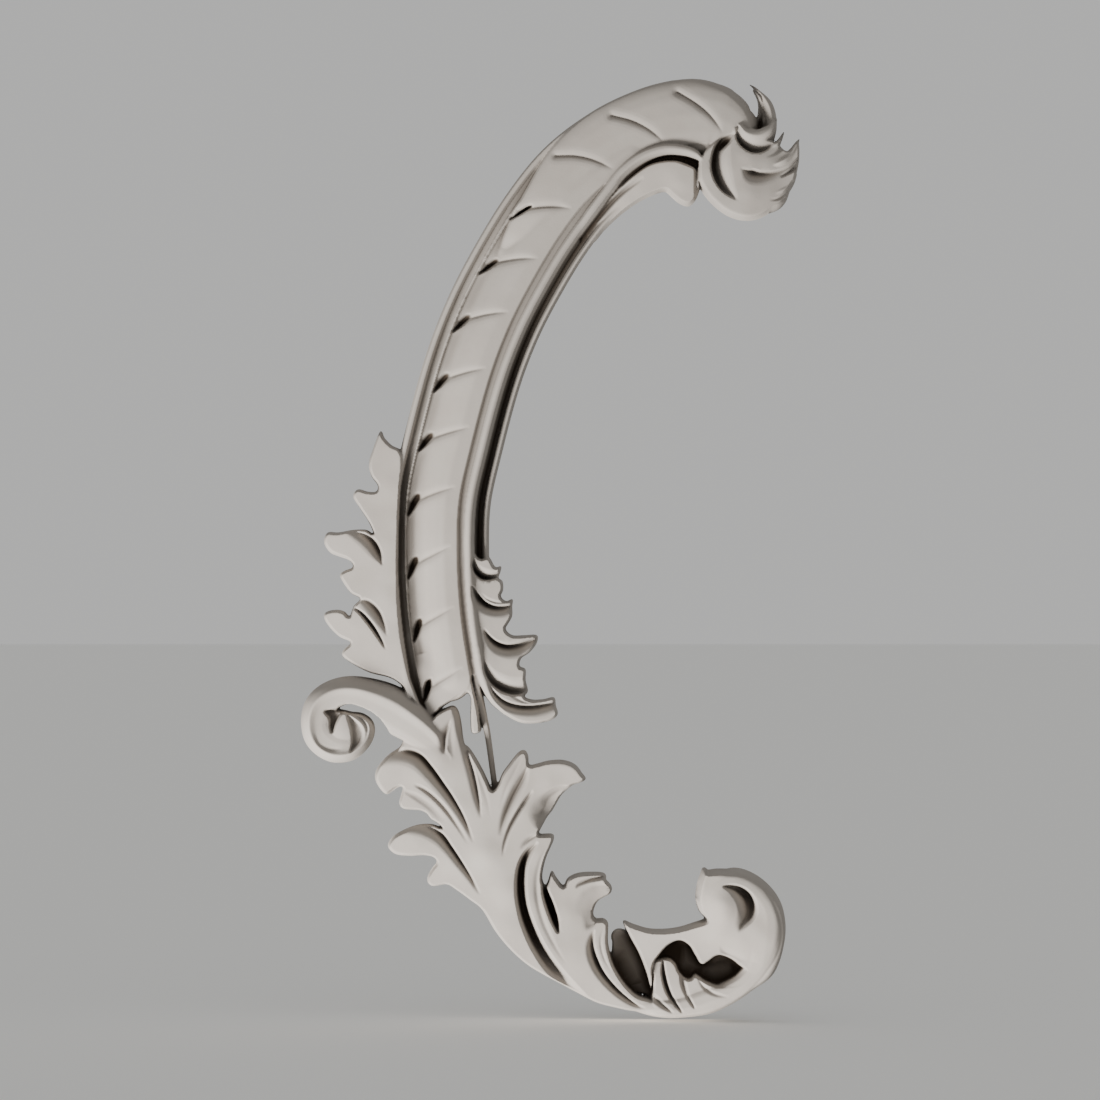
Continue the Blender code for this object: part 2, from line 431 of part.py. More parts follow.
def nicks(collection):
    """Slanting nicks across the band, each with a drilled drop at its outer end."""
    _, length = flow(ARM_LINE)
    length *= SQUARE
    first, last = NICK_FIRST / length, 1 - NICK_LAST_BEFORE_END / length
    shares = np.linspace(first, last, NICK_COUNT)
    near = np.stack([shares, shares + 0.002], axis=1).ravel()
    points, _ = flow(ARM_LINE, near)
    half = BAND_WIDTH / SQUARE / 2
    for i, share in enumerate(shares):
        centre = points[2 * i]
        along = points[2 * i + 1] - centre
        along /= np.linalg.norm(along)
        side = np.array([-along[1], along[0]])
        rake = NICK_RAKE + (NICK_RAKE_AT_HEAD - NICK_RAKE) * max(0, (share - 0.8) / 0.2)

        def place(across, forward):
            return centre + side * across * half + along * forward * half

        crest = BAND_HEIGHT / RELIEF * 100
        deep, wide = NICK_DEPTH / RELIEF * 100, NICK_WIDTH / SQUARE
        cut = [(*place(a, a * math.tan(rake) + 0.12), wide * w, crest - deep * d)
               for a, w, d in ((-1.05, 1.0, 1.0), (-0.4, 0.7, 0.5), (0.1, 0.5, 0.30), (0.62, 0.3, 0.0))]
        gouge(f"nick_{i + 1}", cut, collection)
        if share < 0.75:
            drop = DRILL_DEPTH / RELIEF * 100
            reach = DRILL_LENGTH / SQUARE / half
            drill = [(*place(a, f * reach - 0.35), DRILL_WIDTH / SQUARE * w, crest - drop * d)
                     for a, f, w, d in ((-0.82, 0.55, 0.4, 0.5), (-0.98, 0.15, 1.0, 1.0), (-1.16, -0.45, 0.4, 0.9))]
            gouge(f"drill_{i + 1}", drill, collection)


def helpers(name):
    """A collection of shapes that a Boolean joins or cuts with, left out of the render."""
    collection = bpy.data.collections.new(name)
    bpy.context.scene.collection.children.link(collection)
    return collection


def boolean(piece, operation, collection):
    modifier = piece.modifiers.new(operation.title(), "BOOLEAN")
    modifier.operation = operation
    modifier.operand_type = "COLLECTION"
    modifier.collection = collection
    modifier.solver = "EXACT"
    for helper in collection.objects:
        helper.hide_render = True
        helper.display_type = "WIRE"


def panel_block():
    """The space behind the back plane, which trims every rib flat."""
    bm = bmesh.new()
    bmesh.ops.create_cube(bm, size=1)
    depth = 4 * BACK_TRIM
    bmesh.ops.scale(bm, vec=(2 * ONLAY_HEIGHT, depth, 2 * ONLAY_HEIGHT), verts=bm.verts)
    bmesh.ops.translate(bm, vec=(0, depth / 2, 0), verts=bm.verts)
    return mesh_object("panel_block", bm)


def plaster():
    material = bpy.data.materials.new("cast_plaster")
    material.use_nodes = True
    shader = material.node_tree.nodes["Principled BSDF"]
    shader.inputs["Base Color"].default_value = PLASTER_COLOUR
    shader.inputs["Roughness"].default_value = PLASTER_ROUGHNESS
    shader.inputs["Metallic"].default_value = 0.0
    return material


def settle(piece):
    """Swaps a piece's mesh for the one its modifiers give, true to the back plane and smooth between sharp edges."""
    depsgraph = bpy.context.evaluated_depsgraph_get()
    mesh = bpy.data.meshes.new_from_object(piece.evaluated_get(depsgraph))
    piece.modifiers.clear()
    piece.data = mesh
    bm = bmesh.new()
    bm.from_mesh(mesh)
    bmesh.ops.delete(bm, geom=[edge for edge in bm.edges if not edge.link_faces], context="EDGES")
    for vertex in bm.verts:
        if abs(vertex.co.y) < BACK_SLACK:
            vertex.co.y = 0
    bm.to_mesh(mesh)
    bm.free()
    mesh.shade_smooth()
    mesh.set_sharp_from_angle(angle=SHARP_ANGLE)


def main():
    for item in list(bpy.data.objects):
        bpy.data.objects.remove(item, do_unlink=True)
    carving, cuts, trim = helpers("carving"), helpers("cuts"), helpers("trim")
    onlay = arm(carving)
    rib("crown", CROWN, SWELLING, carving, steps=12)
    rib("ridge_to_head", RIDGE_TO_HEAD, ROUND, carving)
    rib("neck_web", NECK_WEB, FLAT, carving)
    rib("band_heel", BAND_HEEL, ROUND, carving)
    rib("foot_web", FOOT_WEB, FLAT, carving)
    rib("lower_tongue", LOWER_TONGUE, ROUND, carving)
    rib("lower_link", LOWER_LINK, FLAT, carving)
    rib("knob_at_head", KNOB_AT_HEAD, ROUND, carving)
    for group, ribs in (("outer", OUTER_LEAF), ("inner", INNER_LEAF), ("head", HEAD), ("scroll", LOWER_SCROLL),
                        ("spray", MIDDLE_SPRAY), ("volute", LARGE_VOLUTE)):
        for name, (section, knots) in ribs.items():
            rib(f"{group}_{name}", knots, section, carving, steps=max(RIB_STEPS - 1, 2 * len(knots)))
    for name, place in DOMES.items():
        dome(name, *place, carving)
    nicks(cuts)
    for name, knots in GOUGES.items():
        gouge(name, knots, cuts)
    trim.objects.link(panel_block())
    bpy.context.scene.collection.objects.link(onlay)
    boolean(onlay, "UNION", carving)
    boolean(onlay, "DIFFERENCE", cuts)
    boolean(onlay, "DIFFERENCE", trim)
    thinning = onlay.modifiers.new("Thinning", "DECIMATE")
    thinning.ratio = KEPT_TRIANGLES
    settle(onlay)
    onlay.data.materials.append(plaster())


main()
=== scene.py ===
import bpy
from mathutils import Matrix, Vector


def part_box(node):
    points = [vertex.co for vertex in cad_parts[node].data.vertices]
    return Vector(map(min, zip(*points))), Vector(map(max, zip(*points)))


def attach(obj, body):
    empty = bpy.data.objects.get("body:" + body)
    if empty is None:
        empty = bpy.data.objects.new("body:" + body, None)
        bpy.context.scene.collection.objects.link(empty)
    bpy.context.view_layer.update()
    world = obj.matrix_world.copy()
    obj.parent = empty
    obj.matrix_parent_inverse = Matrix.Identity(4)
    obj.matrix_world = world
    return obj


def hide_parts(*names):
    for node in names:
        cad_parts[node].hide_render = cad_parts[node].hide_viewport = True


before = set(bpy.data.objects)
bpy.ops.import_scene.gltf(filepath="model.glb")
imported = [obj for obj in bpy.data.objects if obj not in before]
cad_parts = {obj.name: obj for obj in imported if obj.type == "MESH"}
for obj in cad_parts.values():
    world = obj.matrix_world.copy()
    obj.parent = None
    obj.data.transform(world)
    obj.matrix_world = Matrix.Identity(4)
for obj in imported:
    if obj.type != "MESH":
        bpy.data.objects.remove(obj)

"""Scroll onlay: one plaster casting, carved as a relief over squared paper, on a pale floor.

The relief is a height over the panel, worked out for every point of a fine grid at once. Ribs and plates are
added to it, cuts, grooves and pits are taken from it, and the result is closed with a flat back.
"""

from collections import namedtuple
from math import radians

import bpy
import numpy as np
from bpy.props import FloatProperty, FloatVectorProperty, PointerProperty
from mathutils import Vector

bl_info = {
    "name": "Scroll onlay",
    "version": (1, 0, 0),
    "blender": (4, 5, 0),
    "location": "View3D > Sidebar > Onlay",
    "description": "Builds a carved scroll onlay in cast plaster",
    "category": "Mesh",
}

NODE = "scroll_onlay"
CAD_LOW, CAD_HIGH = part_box(NODE)

# The squared paper: how many squares the onlay is high, the square that lies on the origin, and the paper's edges.
SQUARES_HIGH = 771
ORIGIN_SQUARE = (231, 560)
PAPER = (110, 160, 536, 946)

# A profile runs across a rib or a cut, from its left edge (-1) to its right edge (+1), looking the way it runs.
# A rib's profile gives the share of its crest's height, a cut's gives the share of the way down to its floor,
# and a groove's the share of its depth. A rib's edge is rounded to a radius, and it runs into what is beside it
# with a blend, both in millimetres.
Profile = namedtuple("Profile", "table kind edge blend", defaults=(0.7,))

def even(*half):
    """A profile's table that is the same on both sides, from its left half, which ends in the middle."""
    return (*half, *((-across, share) for across, share in half[-2::-1]))


def mirrored(table):
    """A profile's table with its left and right changed over."""
    return tuple((-across, share) for across, share in reversed(table))


ROUND = Profile(even((-1, 0.62), (-0.6, 0.90), (0, 1.0)), "rib", 1.0)
FLAT = Profile(even((-1, 0.86), (-0.8, 0.98), (0, 1.0)), "rib", 0.8)
KEEL = Profile(even((-1, 0.66), (-0.45, 0.88), (0, 1.0)), "rib", 0.6)
SOFT = Profile(even((-1, 0.78), (-0.6, 0.93), (0, 1.0)), "rib", 2.0, 3.0)
RIGHT_CREST = Profile(((-1, 0.78), (-0.6, 0.88), (-0.05, 0.92), (0.35, 1.0), (0.7, 0.80), (1, 0.50)), "rib", 0.8)
SWELLING = Profile(((-1, 0.38), (-0.85, 0.48), (-0.6, 0.64), (-0.3, 0.82), (0, 0.93), (0.35, 1.0), (1, 0.96)),
                   "rib", 1.0)
RING = Profile(((-1, 0.84), (-0.6, 0.95), (0, 1.0), (0.6, 0.97), (1, 0.86)), "rib", 2.0, 4.0)
CUT = Profile(even((-1, 0), (-0.75, 0.30), (-0.4, 0.85), (0, 1)), "cut", 0)
SOFT_CUT = Profile(even((-1, 0), (-0.7, 0.10), (-0.4, 0.45), (-0.15, 0.9), (0, 1)), "cut", 0)
GROOVE = Profile(even((-1, 0), (-0.6, 0.12), (-0.25, 0.65), (0, 1)), "groove", 0)
STEEP_LEFT = Profile(((-1, 0), (-0.93, 0.45), (-0.82, 1), (-0.65, 0.98), (-0.4, 0.78), (-0.1, 0.5), (0.25, 0.24),
                      (0.6, 0.07), (1, 0)), "cut", 0)
STEEP_RIGHT = Profile(mirrored(STEEP_LEFT.table), "cut", 0)

# A flank starts this far inside the edge that is drawn, in millimetres, and falls this much for each millimetre.
FLANK_INSET = 0.65
FLANK_SLOPE = 20

# A rib's edge is rounded to no more than this share of its half width.
EDGE_SHARE = 0.6

# How evenly the knots of a plate and of a pit share out their heights, in squares squared.
PLATE_SOFTNESS = 130
PIT_SOFTNESS = 40

# The height of bare paper, in millimetres, and how far past its edge a shape is worked out, in squares.
BARE_HEIGHT = -12
MARGIN = 4

# Curves: steps between two knots, squares between the places on an outline and on a path, and the fewest places.
SPAN_STEPS = 24
OUTLINE_STEP = 2
PATH_STEP = 1.5
FEWEST_PLACES = 8

# Samples across a profile, samples in the running average that rounds it, and grid points worked on at a time.
PROFILE_SAMPLES = 257
PROFILE_WINDOW = 45
POINTS_AT_A_TIME = 30000

# The painted shade in the hollows, a darker colour standing in for the shade they hold: grid points around,
# millimetres of full depth and share of the sum, at three scales. It fades out this steeply within this many grid
# points of the edge, and stops this far off the back, in metres.
PAINTED_SHADE_SCALES = ((4, 1.6, 0.45), (14, 6.0, 0.35), (34, 7.0, 0.35))
EDGE_REACH = 5
EDGE_FADE = 2.5
BACK_CLEAR = 0.0005

# Normals: how far round to the back a face on it looks, how near to the back it lies in metres, how little a side
# wall faces the front or the back, and how often a wall's normals are averaged.
BACK_FACING = 0.9
BACK_SLACK = 0.0003
WALL_LEAN = 0.6
EASING_ROUNDS = 8

# The plaster's faint clouds, its grain, which is coarser than real so that it shows, and its ripples: how many metres
# each is across, and its settings.
NOISES = ((0.025, {"in_Detail": 4.0, "in_Roughness": 0.6}),
          (0.0009, {"in_Detail": 2.0}),
          (0.009, {"in_Detail": 1.0}))

# The stage: the floor's reach and its gap below the onlay, in metres, and its cells along a side. The light's place
# from the middle of the onlay, and its size, in metres. The camera's lens and sensor, and the side of its frame and
# the middle of it, in squares.
FLOOR_REACH = 12
FLOOR_GAP = 0.0005
FLOOR_CELLS = 8
KEY_PLACE = (-0.72, -0.70, -0.82)
KEY_SIZE = 0.42
KEY_COLOUR = (1.0, 0.985, 0.96)
ROOM_COLOUR = "#D5D5D4"
LENS_MM = 200
SENSOR_MM = 36
FRAME_SQUARES = 900
FRAME_MIDDLE = (322, 552)

# A plate is a broad smooth surface. Its knots with a width lie on its outline, and the width is how round its edge
# is there. Its knots with no width lie inside it and only give the height there.
PLATE = Profile((), "plate", 1.0, 1.5)
SKIRT = Profile((), "plate", 1.0, 4.0)

# A pit is a soft hollow. Its knots lie round its outline, the width is how wide its wall is there, in squares, and
# the height is its floor's.
PIT = Profile((), "pit", 0)

# Members of the moulded arm, in millimetres, from its outer edge to its inner edge.
RIM_WIDTH = 4.8
COVE_WIDTH = 5.4
BAND_WIDTH = 24.6
QUIRK_WIDTH = 1.8
RIDGE_WIDTH = 6.0
SLOT_WIDTH = 3.0
BEAD_WIDTH = 4.0
RIM_HEIGHT = 15.5
COVE_HEIGHT = 8.0
BAND_HEIGHT = 17.0
RIDGE_HEIGHT = 19.0
QUIRK_HEIGHT = 14.4
FILLET_HEIGHT = 9.8
SLOT_HEIGHT = 3.5
BEAD_HEIGHT = 9.5

# Nicks across the band: how far along the arm the first and the last start, and how far each leads, in millimetres.
NICK_COUNT = 12
NICK_FIRST = 25.5
NICK_LAST = 353.0
NICK_LEAD = 8.5
NICK_LEAD_AT_HEAD = 19.0
NICK_BOW_AT_HEAD = 2.4
DROP_COUNT = 9

# A nick's outer and inner ends, in half widths of the band. Its two grooves, narrow and wide: width in squares, and
# depth in hundredths of the relief. How it tapers: share of its length, of its width and of its depth.
NICK_OUTER = -1.0
NICK_OUTER_AT_HEAD = -1.2
NICK_INNER = 0.68
NICK_GROOVES = ((3.6, 4.0), (15.0, 3.6))
NICK_TAPER = ((0, 1, 1.0), (0.25, 1, 1.0), (0.5, 0.95, 0.85), (0.75, 0.8, 0.55), (1, 0.5, 0))

# A drop's knots: millimetres along the arm, half widths of the band across, width and height. The last drop is
# slimmer by this share.
DROP = ((5.5, -0.68, 2.5, 28), (4.0, -0.76, 6, 13), (0.8, -0.88, 6.5, 8), (-2.5, -1.00, 4.5, 9),
        (-5.0, -1.10, 2, 14))
DROP_SLIMMING = 0.5

# The arm's line, up the middle of its band.
ARM_LINE = ((247, 706), (240, 668), (231, 612), (227.5, 560), (229, 510), (239, 463), (254, 407), (270, 364),
            (289, 326), (315, 283), (343, 248), (376, 223), (410, 207), (440, 200))
ARM_STEPS = 120

# The line goes on to here for the nicks, in so many steps.
NICK_LINE_END = (470, 196)
NICK_LINE_STEPS = 400

# Across the arm's narrow members, and across its wide end.
QUIRK = Profile(even((-1, 1.0), (-0.4, 0.98), (0, 0.95)), "rib", 0.8, 2.0)
CROWN = Profile(((-1, 0.70), (-0.9, 0.82), (-0.7, 0.92), (-0.4, 0.98), (0.1, 1.0), (0.6, 0.96), (1, 0.88)), "rib",
                1.0)
RIM = Profile(((-1, 0.80), (-0.5, 0.98), (0, 1.0), (0.5, 0.97), (1, 0.86)), "rib", 1.0)
RIDGE = Profile(((-1, 0.86), (-0.6, 0.97), (0, 1.0), (0.5, 0.94), (1, 0.74)), "rib", 1.2)
BEAD = Profile(((-1, 0.84), (-0.5, 0.97), (0, 1.0), (0.5, 0.94), (1, 0.70)), "rib", 1.2)

# What joins the arm to its neighbours at both ends. A knot is (across, down, width, height): where a rib runs and
# how wide it is, in squares, and how high its crest stands, in hundredths of the full relief.
ARM_ENDS = {
    "foot_web": (FLAT, ((208, 625, 14, 24), (212, 650, 18, 24), (219, 675, 22, 24), (228, 695, 18, 24))),
    "neck_web": (FLAT, (
        (360, 280, 10, 22), (380, 262, 18, 26), (402, 246, 24, 26), (422, 239, 30, 26), (446, 235, 42, 26),
        (470, 231, 42, 26))),
    "crown_bed": (SOFT, (
        (344, 276, 8, 34), (372, 244, 12, 44), (400, 224, 14, 44), (430, 219, 14, 44), (456, 222, 16, 44))),
    "crown": (CROWN, (
        (291, 309, 26, 32), (300, 294, 32, 42), (318, 266, 39, 49), (340, 240, 50, 50), (368, 216, 54, 51),
        (404, 199, 55, 52), (436, 193, 57, 52), (455, 195, 54, 51), (464, 198, 50, 50), (470, 201, 45, 48),
        (475, 205, 38, 45))),
    "ridge_to_head": (RIDGE, (
        (339, 300, 8, 42), (347, 288, 9.5, 52), (357, 274, 10.5, 56.5), (369, 258, 10.5, 57),
        (382, 242, 11, 57), (398, 230, 11.5, 57), (416, 224, 11, 57), (432, 225, 10.5, 56), (441, 228, 9, 55),
        (446, 232, 6, 53))),
    "knob": (PLATE, (
        (352, 291, 1, 9), (364, 272, 1, 20), (376, 257, 1.5, 38), (390, 244, 2, 46), (404, 235, 2, 47),
        (420, 232, 2, 48), (434, 234, 2, 49), (443, 241, 2, 48), (445, 254, 2, 45), (442, 264, 2.5, 41),
        (436, 269.5, 2.5, 39), (428, 267, 2.5, 39), (421, 261, 2, 39), (416, 257.5, 2, 38), (405, 261, 2, 36),
        (392, 268, 1.5, 34), (379, 278, 1.5, 28), (367, 290, 1, 18), (358, 300, 1, 9), (428, 250, 0, 52))),
    "heel": (PLATE, (
        (210, 640, 1, 14), (222, 634, 1, 26), (240, 630, 1, 40), (253, 632, 1, 42), (256, 648, 1, 47),
        (259, 660, 1, 47), (261.2, 672, 1, 46), (263.4, 682, 1, 45), (264.6, 692, 1, 44), (265.4, 700.5, 1, 43),
        (262, 702.7, 1, 43), (258.5, 703, 1, 43), (257, 700, 1, 43), (256.6, 687, 1, 44), (257, 675.5, 0.8, 45),
        (256, 671.5, 0.8, 45), (253.6, 669, 0.8, 45), (250, 670, 0.8, 45), (246, 672.5, 0.8, 45),
        (241, 676.4, 0.8, 44), (234, 681, 1, 43), (230, 685, 1, 42), (225, 688.5, 1, 40), (221, 685.5, 1, 34),
        (217, 675, 1, 28), (213, 660, 1, 23), (235, 655, 0, 49), (228, 672, 0, 42), (250, 650, 0, 49),
        (220, 655, 0, 30))),
    "lower_link": (FLAT, (
        (258.5, 642, 6, 42), (261.5, 660, 7, 38), (264.5, 676, 7.5, 32), (267.5, 690, 7.5, 22),
        (271, 706, 7, 13), (277, 750, 7, 9))),
    "ridge_foot": (RIDGE, (
        (262, 632, 10, 56), (264.5, 648, 10, 55), (269, 662, 10, 52), (276, 674, 10, 48), (286, 684, 8, 42))),
}

OUTER_LEAF = {
    "blade": (PLATE, (
        (182.5, 454, 1, 40), (186, 460, 1, 42), (192, 466, 1.5, 44), (199, 470, 1, 46), (201.5, 480, 0.8, 47),
        (200, 500, 0.8, 49), (198.5, 530, 0.8, 50), (198, 570, 0.8, 50), (198.5, 600, 0.8, 50),
        (201, 625, 0.8, 50), (206, 650, 0.8, 49), (212, 668, 0.8, 47), (218, 683, 0.8, 45), (214, 681, 0.8, 45),
        (206, 671, 1, 45), (199, 662.5, 1, 45), (190, 657, 1.5, 44), (174, 653, 1.5, 42), (160, 646, 1.5, 39),
        (151, 639, 2, 36), (152, 634, 1.5, 36), (158, 628, 1, 38), (149, 623.5, 1.5, 38), (141, 616, 2, 37),
        (136, 608, 2, 36), (137.5, 603, 2, 36), (146, 601, 2, 38), (153, 602.5, 1.5, 40), (157, 606.5, 1, 42),
        (159, 602, 1, 42), (161, 597.5, 1, 42), (166, 592, 1, 44), (159, 588, 1, 42), (154, 582, 2, 40),
        (149, 573, 2, 37), (153, 569, 1.5, 38), (160, 566, 1, 41), (157, 560.5, 1, 42), (149, 557.5, 2, 41),
        (141, 554, 2.5, 40), (136, 545.5, 2.5, 40), (139, 537.5, 2.5, 41), (148, 537.5, 2, 43),
        (160, 535.5, 1.5, 45), (171, 535.5, 1, 46), (177, 539, 1, 48), (173, 529, 1, 46), (166, 518, 1, 43),
        (160, 508, 1.5, 39), (164, 502, 1.5, 39), (172, 504, 1, 42), (179, 504, 1, 45), (180.5, 499, 1, 46),
        (175, 491, 1.5, 44), (173, 481, 2, 42), (176, 470, 1.5, 41), (189, 500, 0, 50), (189, 545, 0, 50),
        (190, 590, 0, 50), (192, 630, 0, 49), (150, 546, 0, 44))),
}

INNER_LEAF = {
    "blade": (PLATE, (
        (257, 548, 0.8, 50), (262, 556.5, 0.8, 49), (266, 559, 0.8, 47), (272, 558, 1, 44), (277, 566, 1, 42),
        (282, 565, 1, 38), (281, 571, 1, 38), (279.5, 575, 1, 40), (283, 577.5, 1, 40), (283.5, 585, 1, 40),
        (281.5, 590, 1, 41), (286, 594, 1, 40), (291.5, 592, 1, 38), (291, 598, 1, 38), (291, 606, 1, 40),
        (288, 612, 1, 41), (285.5, 617, 1, 42), (291, 622, 1, 42), (301, 622, 1, 41), (311.5, 622, 1, 38),
        (311, 629, 1, 38), (305, 636.5, 1, 39), (298.5, 641, 1, 41), (297, 647.5, 1, 42), (302, 650, 1, 40),
        (302, 659, 1, 40), (304, 668, 1, 40), (301, 672.5, 1, 42), (308, 675, 1, 41), (317, 674.5, 1, 39),
        (325.5, 673, 1, 36), (327, 680, 1, 36), (328.5, 687, 1, 37), (323, 692, 1.5, 39), (311, 694.5, 2, 42),
        (298, 694, 2, 45), (286, 688, 2, 47), (277, 680, 1.5, 49), (270, 671, 1.5, 50), (265, 660, 1.5, 51),
        (260, 640, 1, 51), (257, 610, 1, 51), (255, 575, 1, 51), (265, 605, 0, 50), (268, 640, 0, 50),
        (275, 582, 0, 46), (280, 610, 0, 46), (288, 645, 0, 46), (285, 672, 0, 47), (300, 690, 0, 44))),
}

HEAD = {
    "back_leaf_bed": (FLAT, ((498, 208, 12, 20), (499, 194, 9, 20), (496, 181, 5, 18))),
    "back_leaf": (KEEL, (
        (500, 222, 9, 36), (504, 204, 10, 38), (501, 187, 10, 36), (492, 174, 4, 28), (486, 169, 2, 22))),
    "back_leaf_rib": (KEEL, ((492, 204, 4, 34), (495, 192, 5, 38), (494, 182, 4, 36), (489, 174, 2, 28))),
    "ball": (PLATE, (
        (474, 205, 2, 50), (486, 214, 2, 50), (500, 215, 2, 48), (509, 218, 2, 44), (517, 224, 1, 38),
        (526, 215, 1, 32), (527, 232, 1.5, 36), (523, 248, 1.5, 38), (517, 261, 2, 40), (507, 271, 3, 42),
        (495, 279, 3, 46), (482, 281, 3, 48), (468, 277, 3, 50), (455, 267, 3, 52), (446, 255, 3, 52),
        (442, 242, 3, 52), (445, 230, 2, 52), (453, 220, 2, 52), (463, 214, 1, 50), (470, 211, 1, 50),
        (470, 240, 0, 58), (484, 230, 0, 62), (485, 260, 0, 60), (500, 235, 0, 56), (450, 243, 0, 58),
        (462, 268, 0, 58), (478, 274, 0, 57), (500, 262, 0, 52), (513, 240, 0, 44))),
    "upper_crescent": (SOFT, (
        (477, 204, 4, 50), (483, 211, 11, 56), (493, 213, 14, 57), (502, 208, 11, 54), (508, 198, 2, 44))),
    "first_flame": (KEEL, ((493, 228, 8, 36), (506, 221, 7, 48), (511, 215, 4, 44), (514.5, 208, 1.5, 38))),
    "second_flame": (KEEL, ((492, 240, 10, 40), (510, 235, 12, 52), (520, 227, 9, 46), (527, 214, 1.5, 38))),
    "third_flame": (KEEL, ((492, 264, 10, 38), (509, 259, 11, 48), (519, 252, 7, 42), (525, 243, 1.5, 34))),
    "fourth_flame": (KEEL, ((491, 274, 8, 34), (506, 270, 8, 44), (514, 265, 5, 38), (519, 257, 1.5, 30))),
}

LOWER_SCROLL = {
    "trunk": (PLATE, (
        (203, 704, 1, 40), (208, 697, 1, 44), (215, 696.5, 1, 52), (222, 695, 1, 55), (226, 689.5, 1, 53),
        (230, 685.5, 1, 52), (236, 682, 1, 50), (242.5, 680, 1, 48), (246.5, 684, 1, 46), (249, 694, 1, 46),
        (250.5, 706, 1, 46), (252, 712, 1, 44), (255, 714, 1, 44), (260, 721, 1, 46), (266.5, 732.5, 1, 47),
        (271, 742, 1, 47), (274.5, 749, 0.8, 47), (279.5, 743.5, 1, 47), (283, 735.5, 1, 47), (289, 727, 1, 46),
        (296, 718.5, 1, 44), (301, 716.5, 1, 42), (304, 721, 1, 42), (305, 728.5, 0.8, 42),
        (312, 727.5, 1.5, 46), (320, 725.4, 2, 48), (330, 724.5, 3, 50), (338, 726, 3, 51), (344, 729.5, 3, 50),
        (348, 735, 2, 48), (351.5, 740, 1, 44), (347.5, 743, 1.5, 44), (341, 745, 1.5, 44), (336, 749, 1.5, 42),
        (331, 754, 1.5, 42), (328, 759, 1, 42), (324, 766, 1, 44), (320, 771, 1, 46), (316.5, 777, 1, 48),
        (313, 783.5, 1, 48), (313.5, 785.5, 1, 48), (324, 785.5, 1, 46), (325, 790, 1, 46), (322.5, 796, 1, 48),
        (319, 804, 1, 50), (316.5, 813, 1, 51), (315.5, 822, 1, 51), (318, 828, 0.8, 50), (320.5, 824, 1, 44),
        (323.5, 815.5, 1, 38), (327, 821, 1, 42), (333, 828, 1, 46), (336, 822.5, 1, 47), (341, 819, 1.5, 48),
        (349, 817, 1.5, 46), (364, 817, 1, 44), (368, 819.5, 1, 44), (368, 823, 1, 46), (371, 826, 2, 47),
        (373, 830, 2, 46), (371.5, 834.5, 2, 45), (366, 837.5, 1.5, 46), (361, 841, 1.5, 46), (358, 847, 1, 46),
        (357.5, 852, 1, 48), (360, 855, 1, 50), (366, 855, 1, 50), (369.5, 858.5, 1, 50), (369.5, 866, 1, 52),
        (369.5, 875, 1, 53), (372, 886, 1, 54), (377, 897.5, 1, 55), (385, 909, 1, 56), (394, 917, 1, 57),
        (404, 920, 1, 54), (420, 924, 1, 38), (418, 931, 1, 34), (404, 931, 1.5, 46), (390, 930.5, 2, 52),
        (375, 927.5, 2, 53), (360, 923.5, 2, 52), (345, 916, 2, 52), (330, 908, 2, 52), (316, 900.5, 2, 51),
        (303, 892.5, 2, 50), (290, 881, 2, 50), (277.5, 866, 2, 48), (266.5, 848, 1.5, 46),
        (256, 839.5, 1.5, 44), (245, 831.5, 1.5, 42), (237, 827, 1.5, 41), (226, 828.5, 1.5, 39),
        (221.5, 825.5, 1.5, 38), (221.5, 820, 1.5, 38), (225.5, 813, 1.5, 40), (229, 808.5, 1, 42),
        (226, 804.5, 1, 43), (218, 803, 2, 43), (207, 803.5, 2, 43), (196, 802.5, 3, 42), (190.5, 799, 3, 41),
        (188.5, 795, 3, 41), (190, 791, 3, 41), (194, 786.5, 3, 42), (200, 783, 2, 43), (208, 779.5, 1.5, 43),
        (216, 777.5, 1.5, 43), (225, 777.5, 1, 43), (233, 780, 1, 44), (229, 776, 1, 45), (224, 773, 1, 45),
        (220.5, 768.5, 1, 44), (215, 766, 1, 44), (209, 765.5, 1, 43), (201, 764.5, 1, 42), (198, 760, 1, 42),
        (199.5, 754, 1, 43), (201, 747, 1, 45), (197, 747, 1.5, 46), (192, 750.5, 2, 45), (188, 753, 2, 44),
        (184, 750.5, 3, 44), (179.5, 744, 3, 44), (178, 737.5, 3, 45), (180, 731, 3, 46), (185, 724.5, 2, 48),
        (191, 719, 1.5, 48), (199, 713.5, 1, 46), (230, 720, 0, 58), (215, 738, 0, 54), (210, 755, 0, 49),
        (247, 760, 0, 56), (212, 791, 0, 49), (240, 808, 0, 50), (270, 800, 0, 57), (262, 745, 0, 52),
        (285, 745, 0, 53), (290, 830, 0, 55), (290, 862, 0, 54), (322, 742, 0, 54), (300, 765, 0, 54),
        (312, 800, 0, 54), (310, 840, 0, 56), (318, 878, 0, 55), (338, 850, 0, 56), (345, 885, 0, 56),
        (363, 880, 0, 56), (385, 920, 0, 57))),
    "stem": (RIGHT_CREST, (
        (238, 722, 20, 50), (225, 706, 28, 58), (207, 692, 35, 63), (187, 680, 38, 65), (164, 671, 31, 67),
        (147, 671, 27, 68), (134, 679, 26, 69), (129, 692, 24, 70), (132, 706, 24, 70), (143, 715, 23, 69),
        (156, 716, 20, 66), (166, 710.5, 16, 61), (171.5, 703, 13, 57), (172, 695.5, 11, 55),
        (166.5, 690, 9, 54), (158, 687, 5, 54))),
    "volute_petal": (SKIRT, (
        (142, 683, 1, 54), (153, 684, 1, 60), (162, 687, 1, 58), (170, 693, 1, 54), (173, 702, 1, 52),
        (168, 712, 2, 50), (157, 718, 2, 48), (143, 718, 2, 46), (131, 710, 2, 46), (127, 698, 2, 46),
        (131, 687, 2, 46), (150, 700, 0, 72), (153, 691, 0, 74), (141, 702, 0, 68), (152, 709, 0, 66))),
}

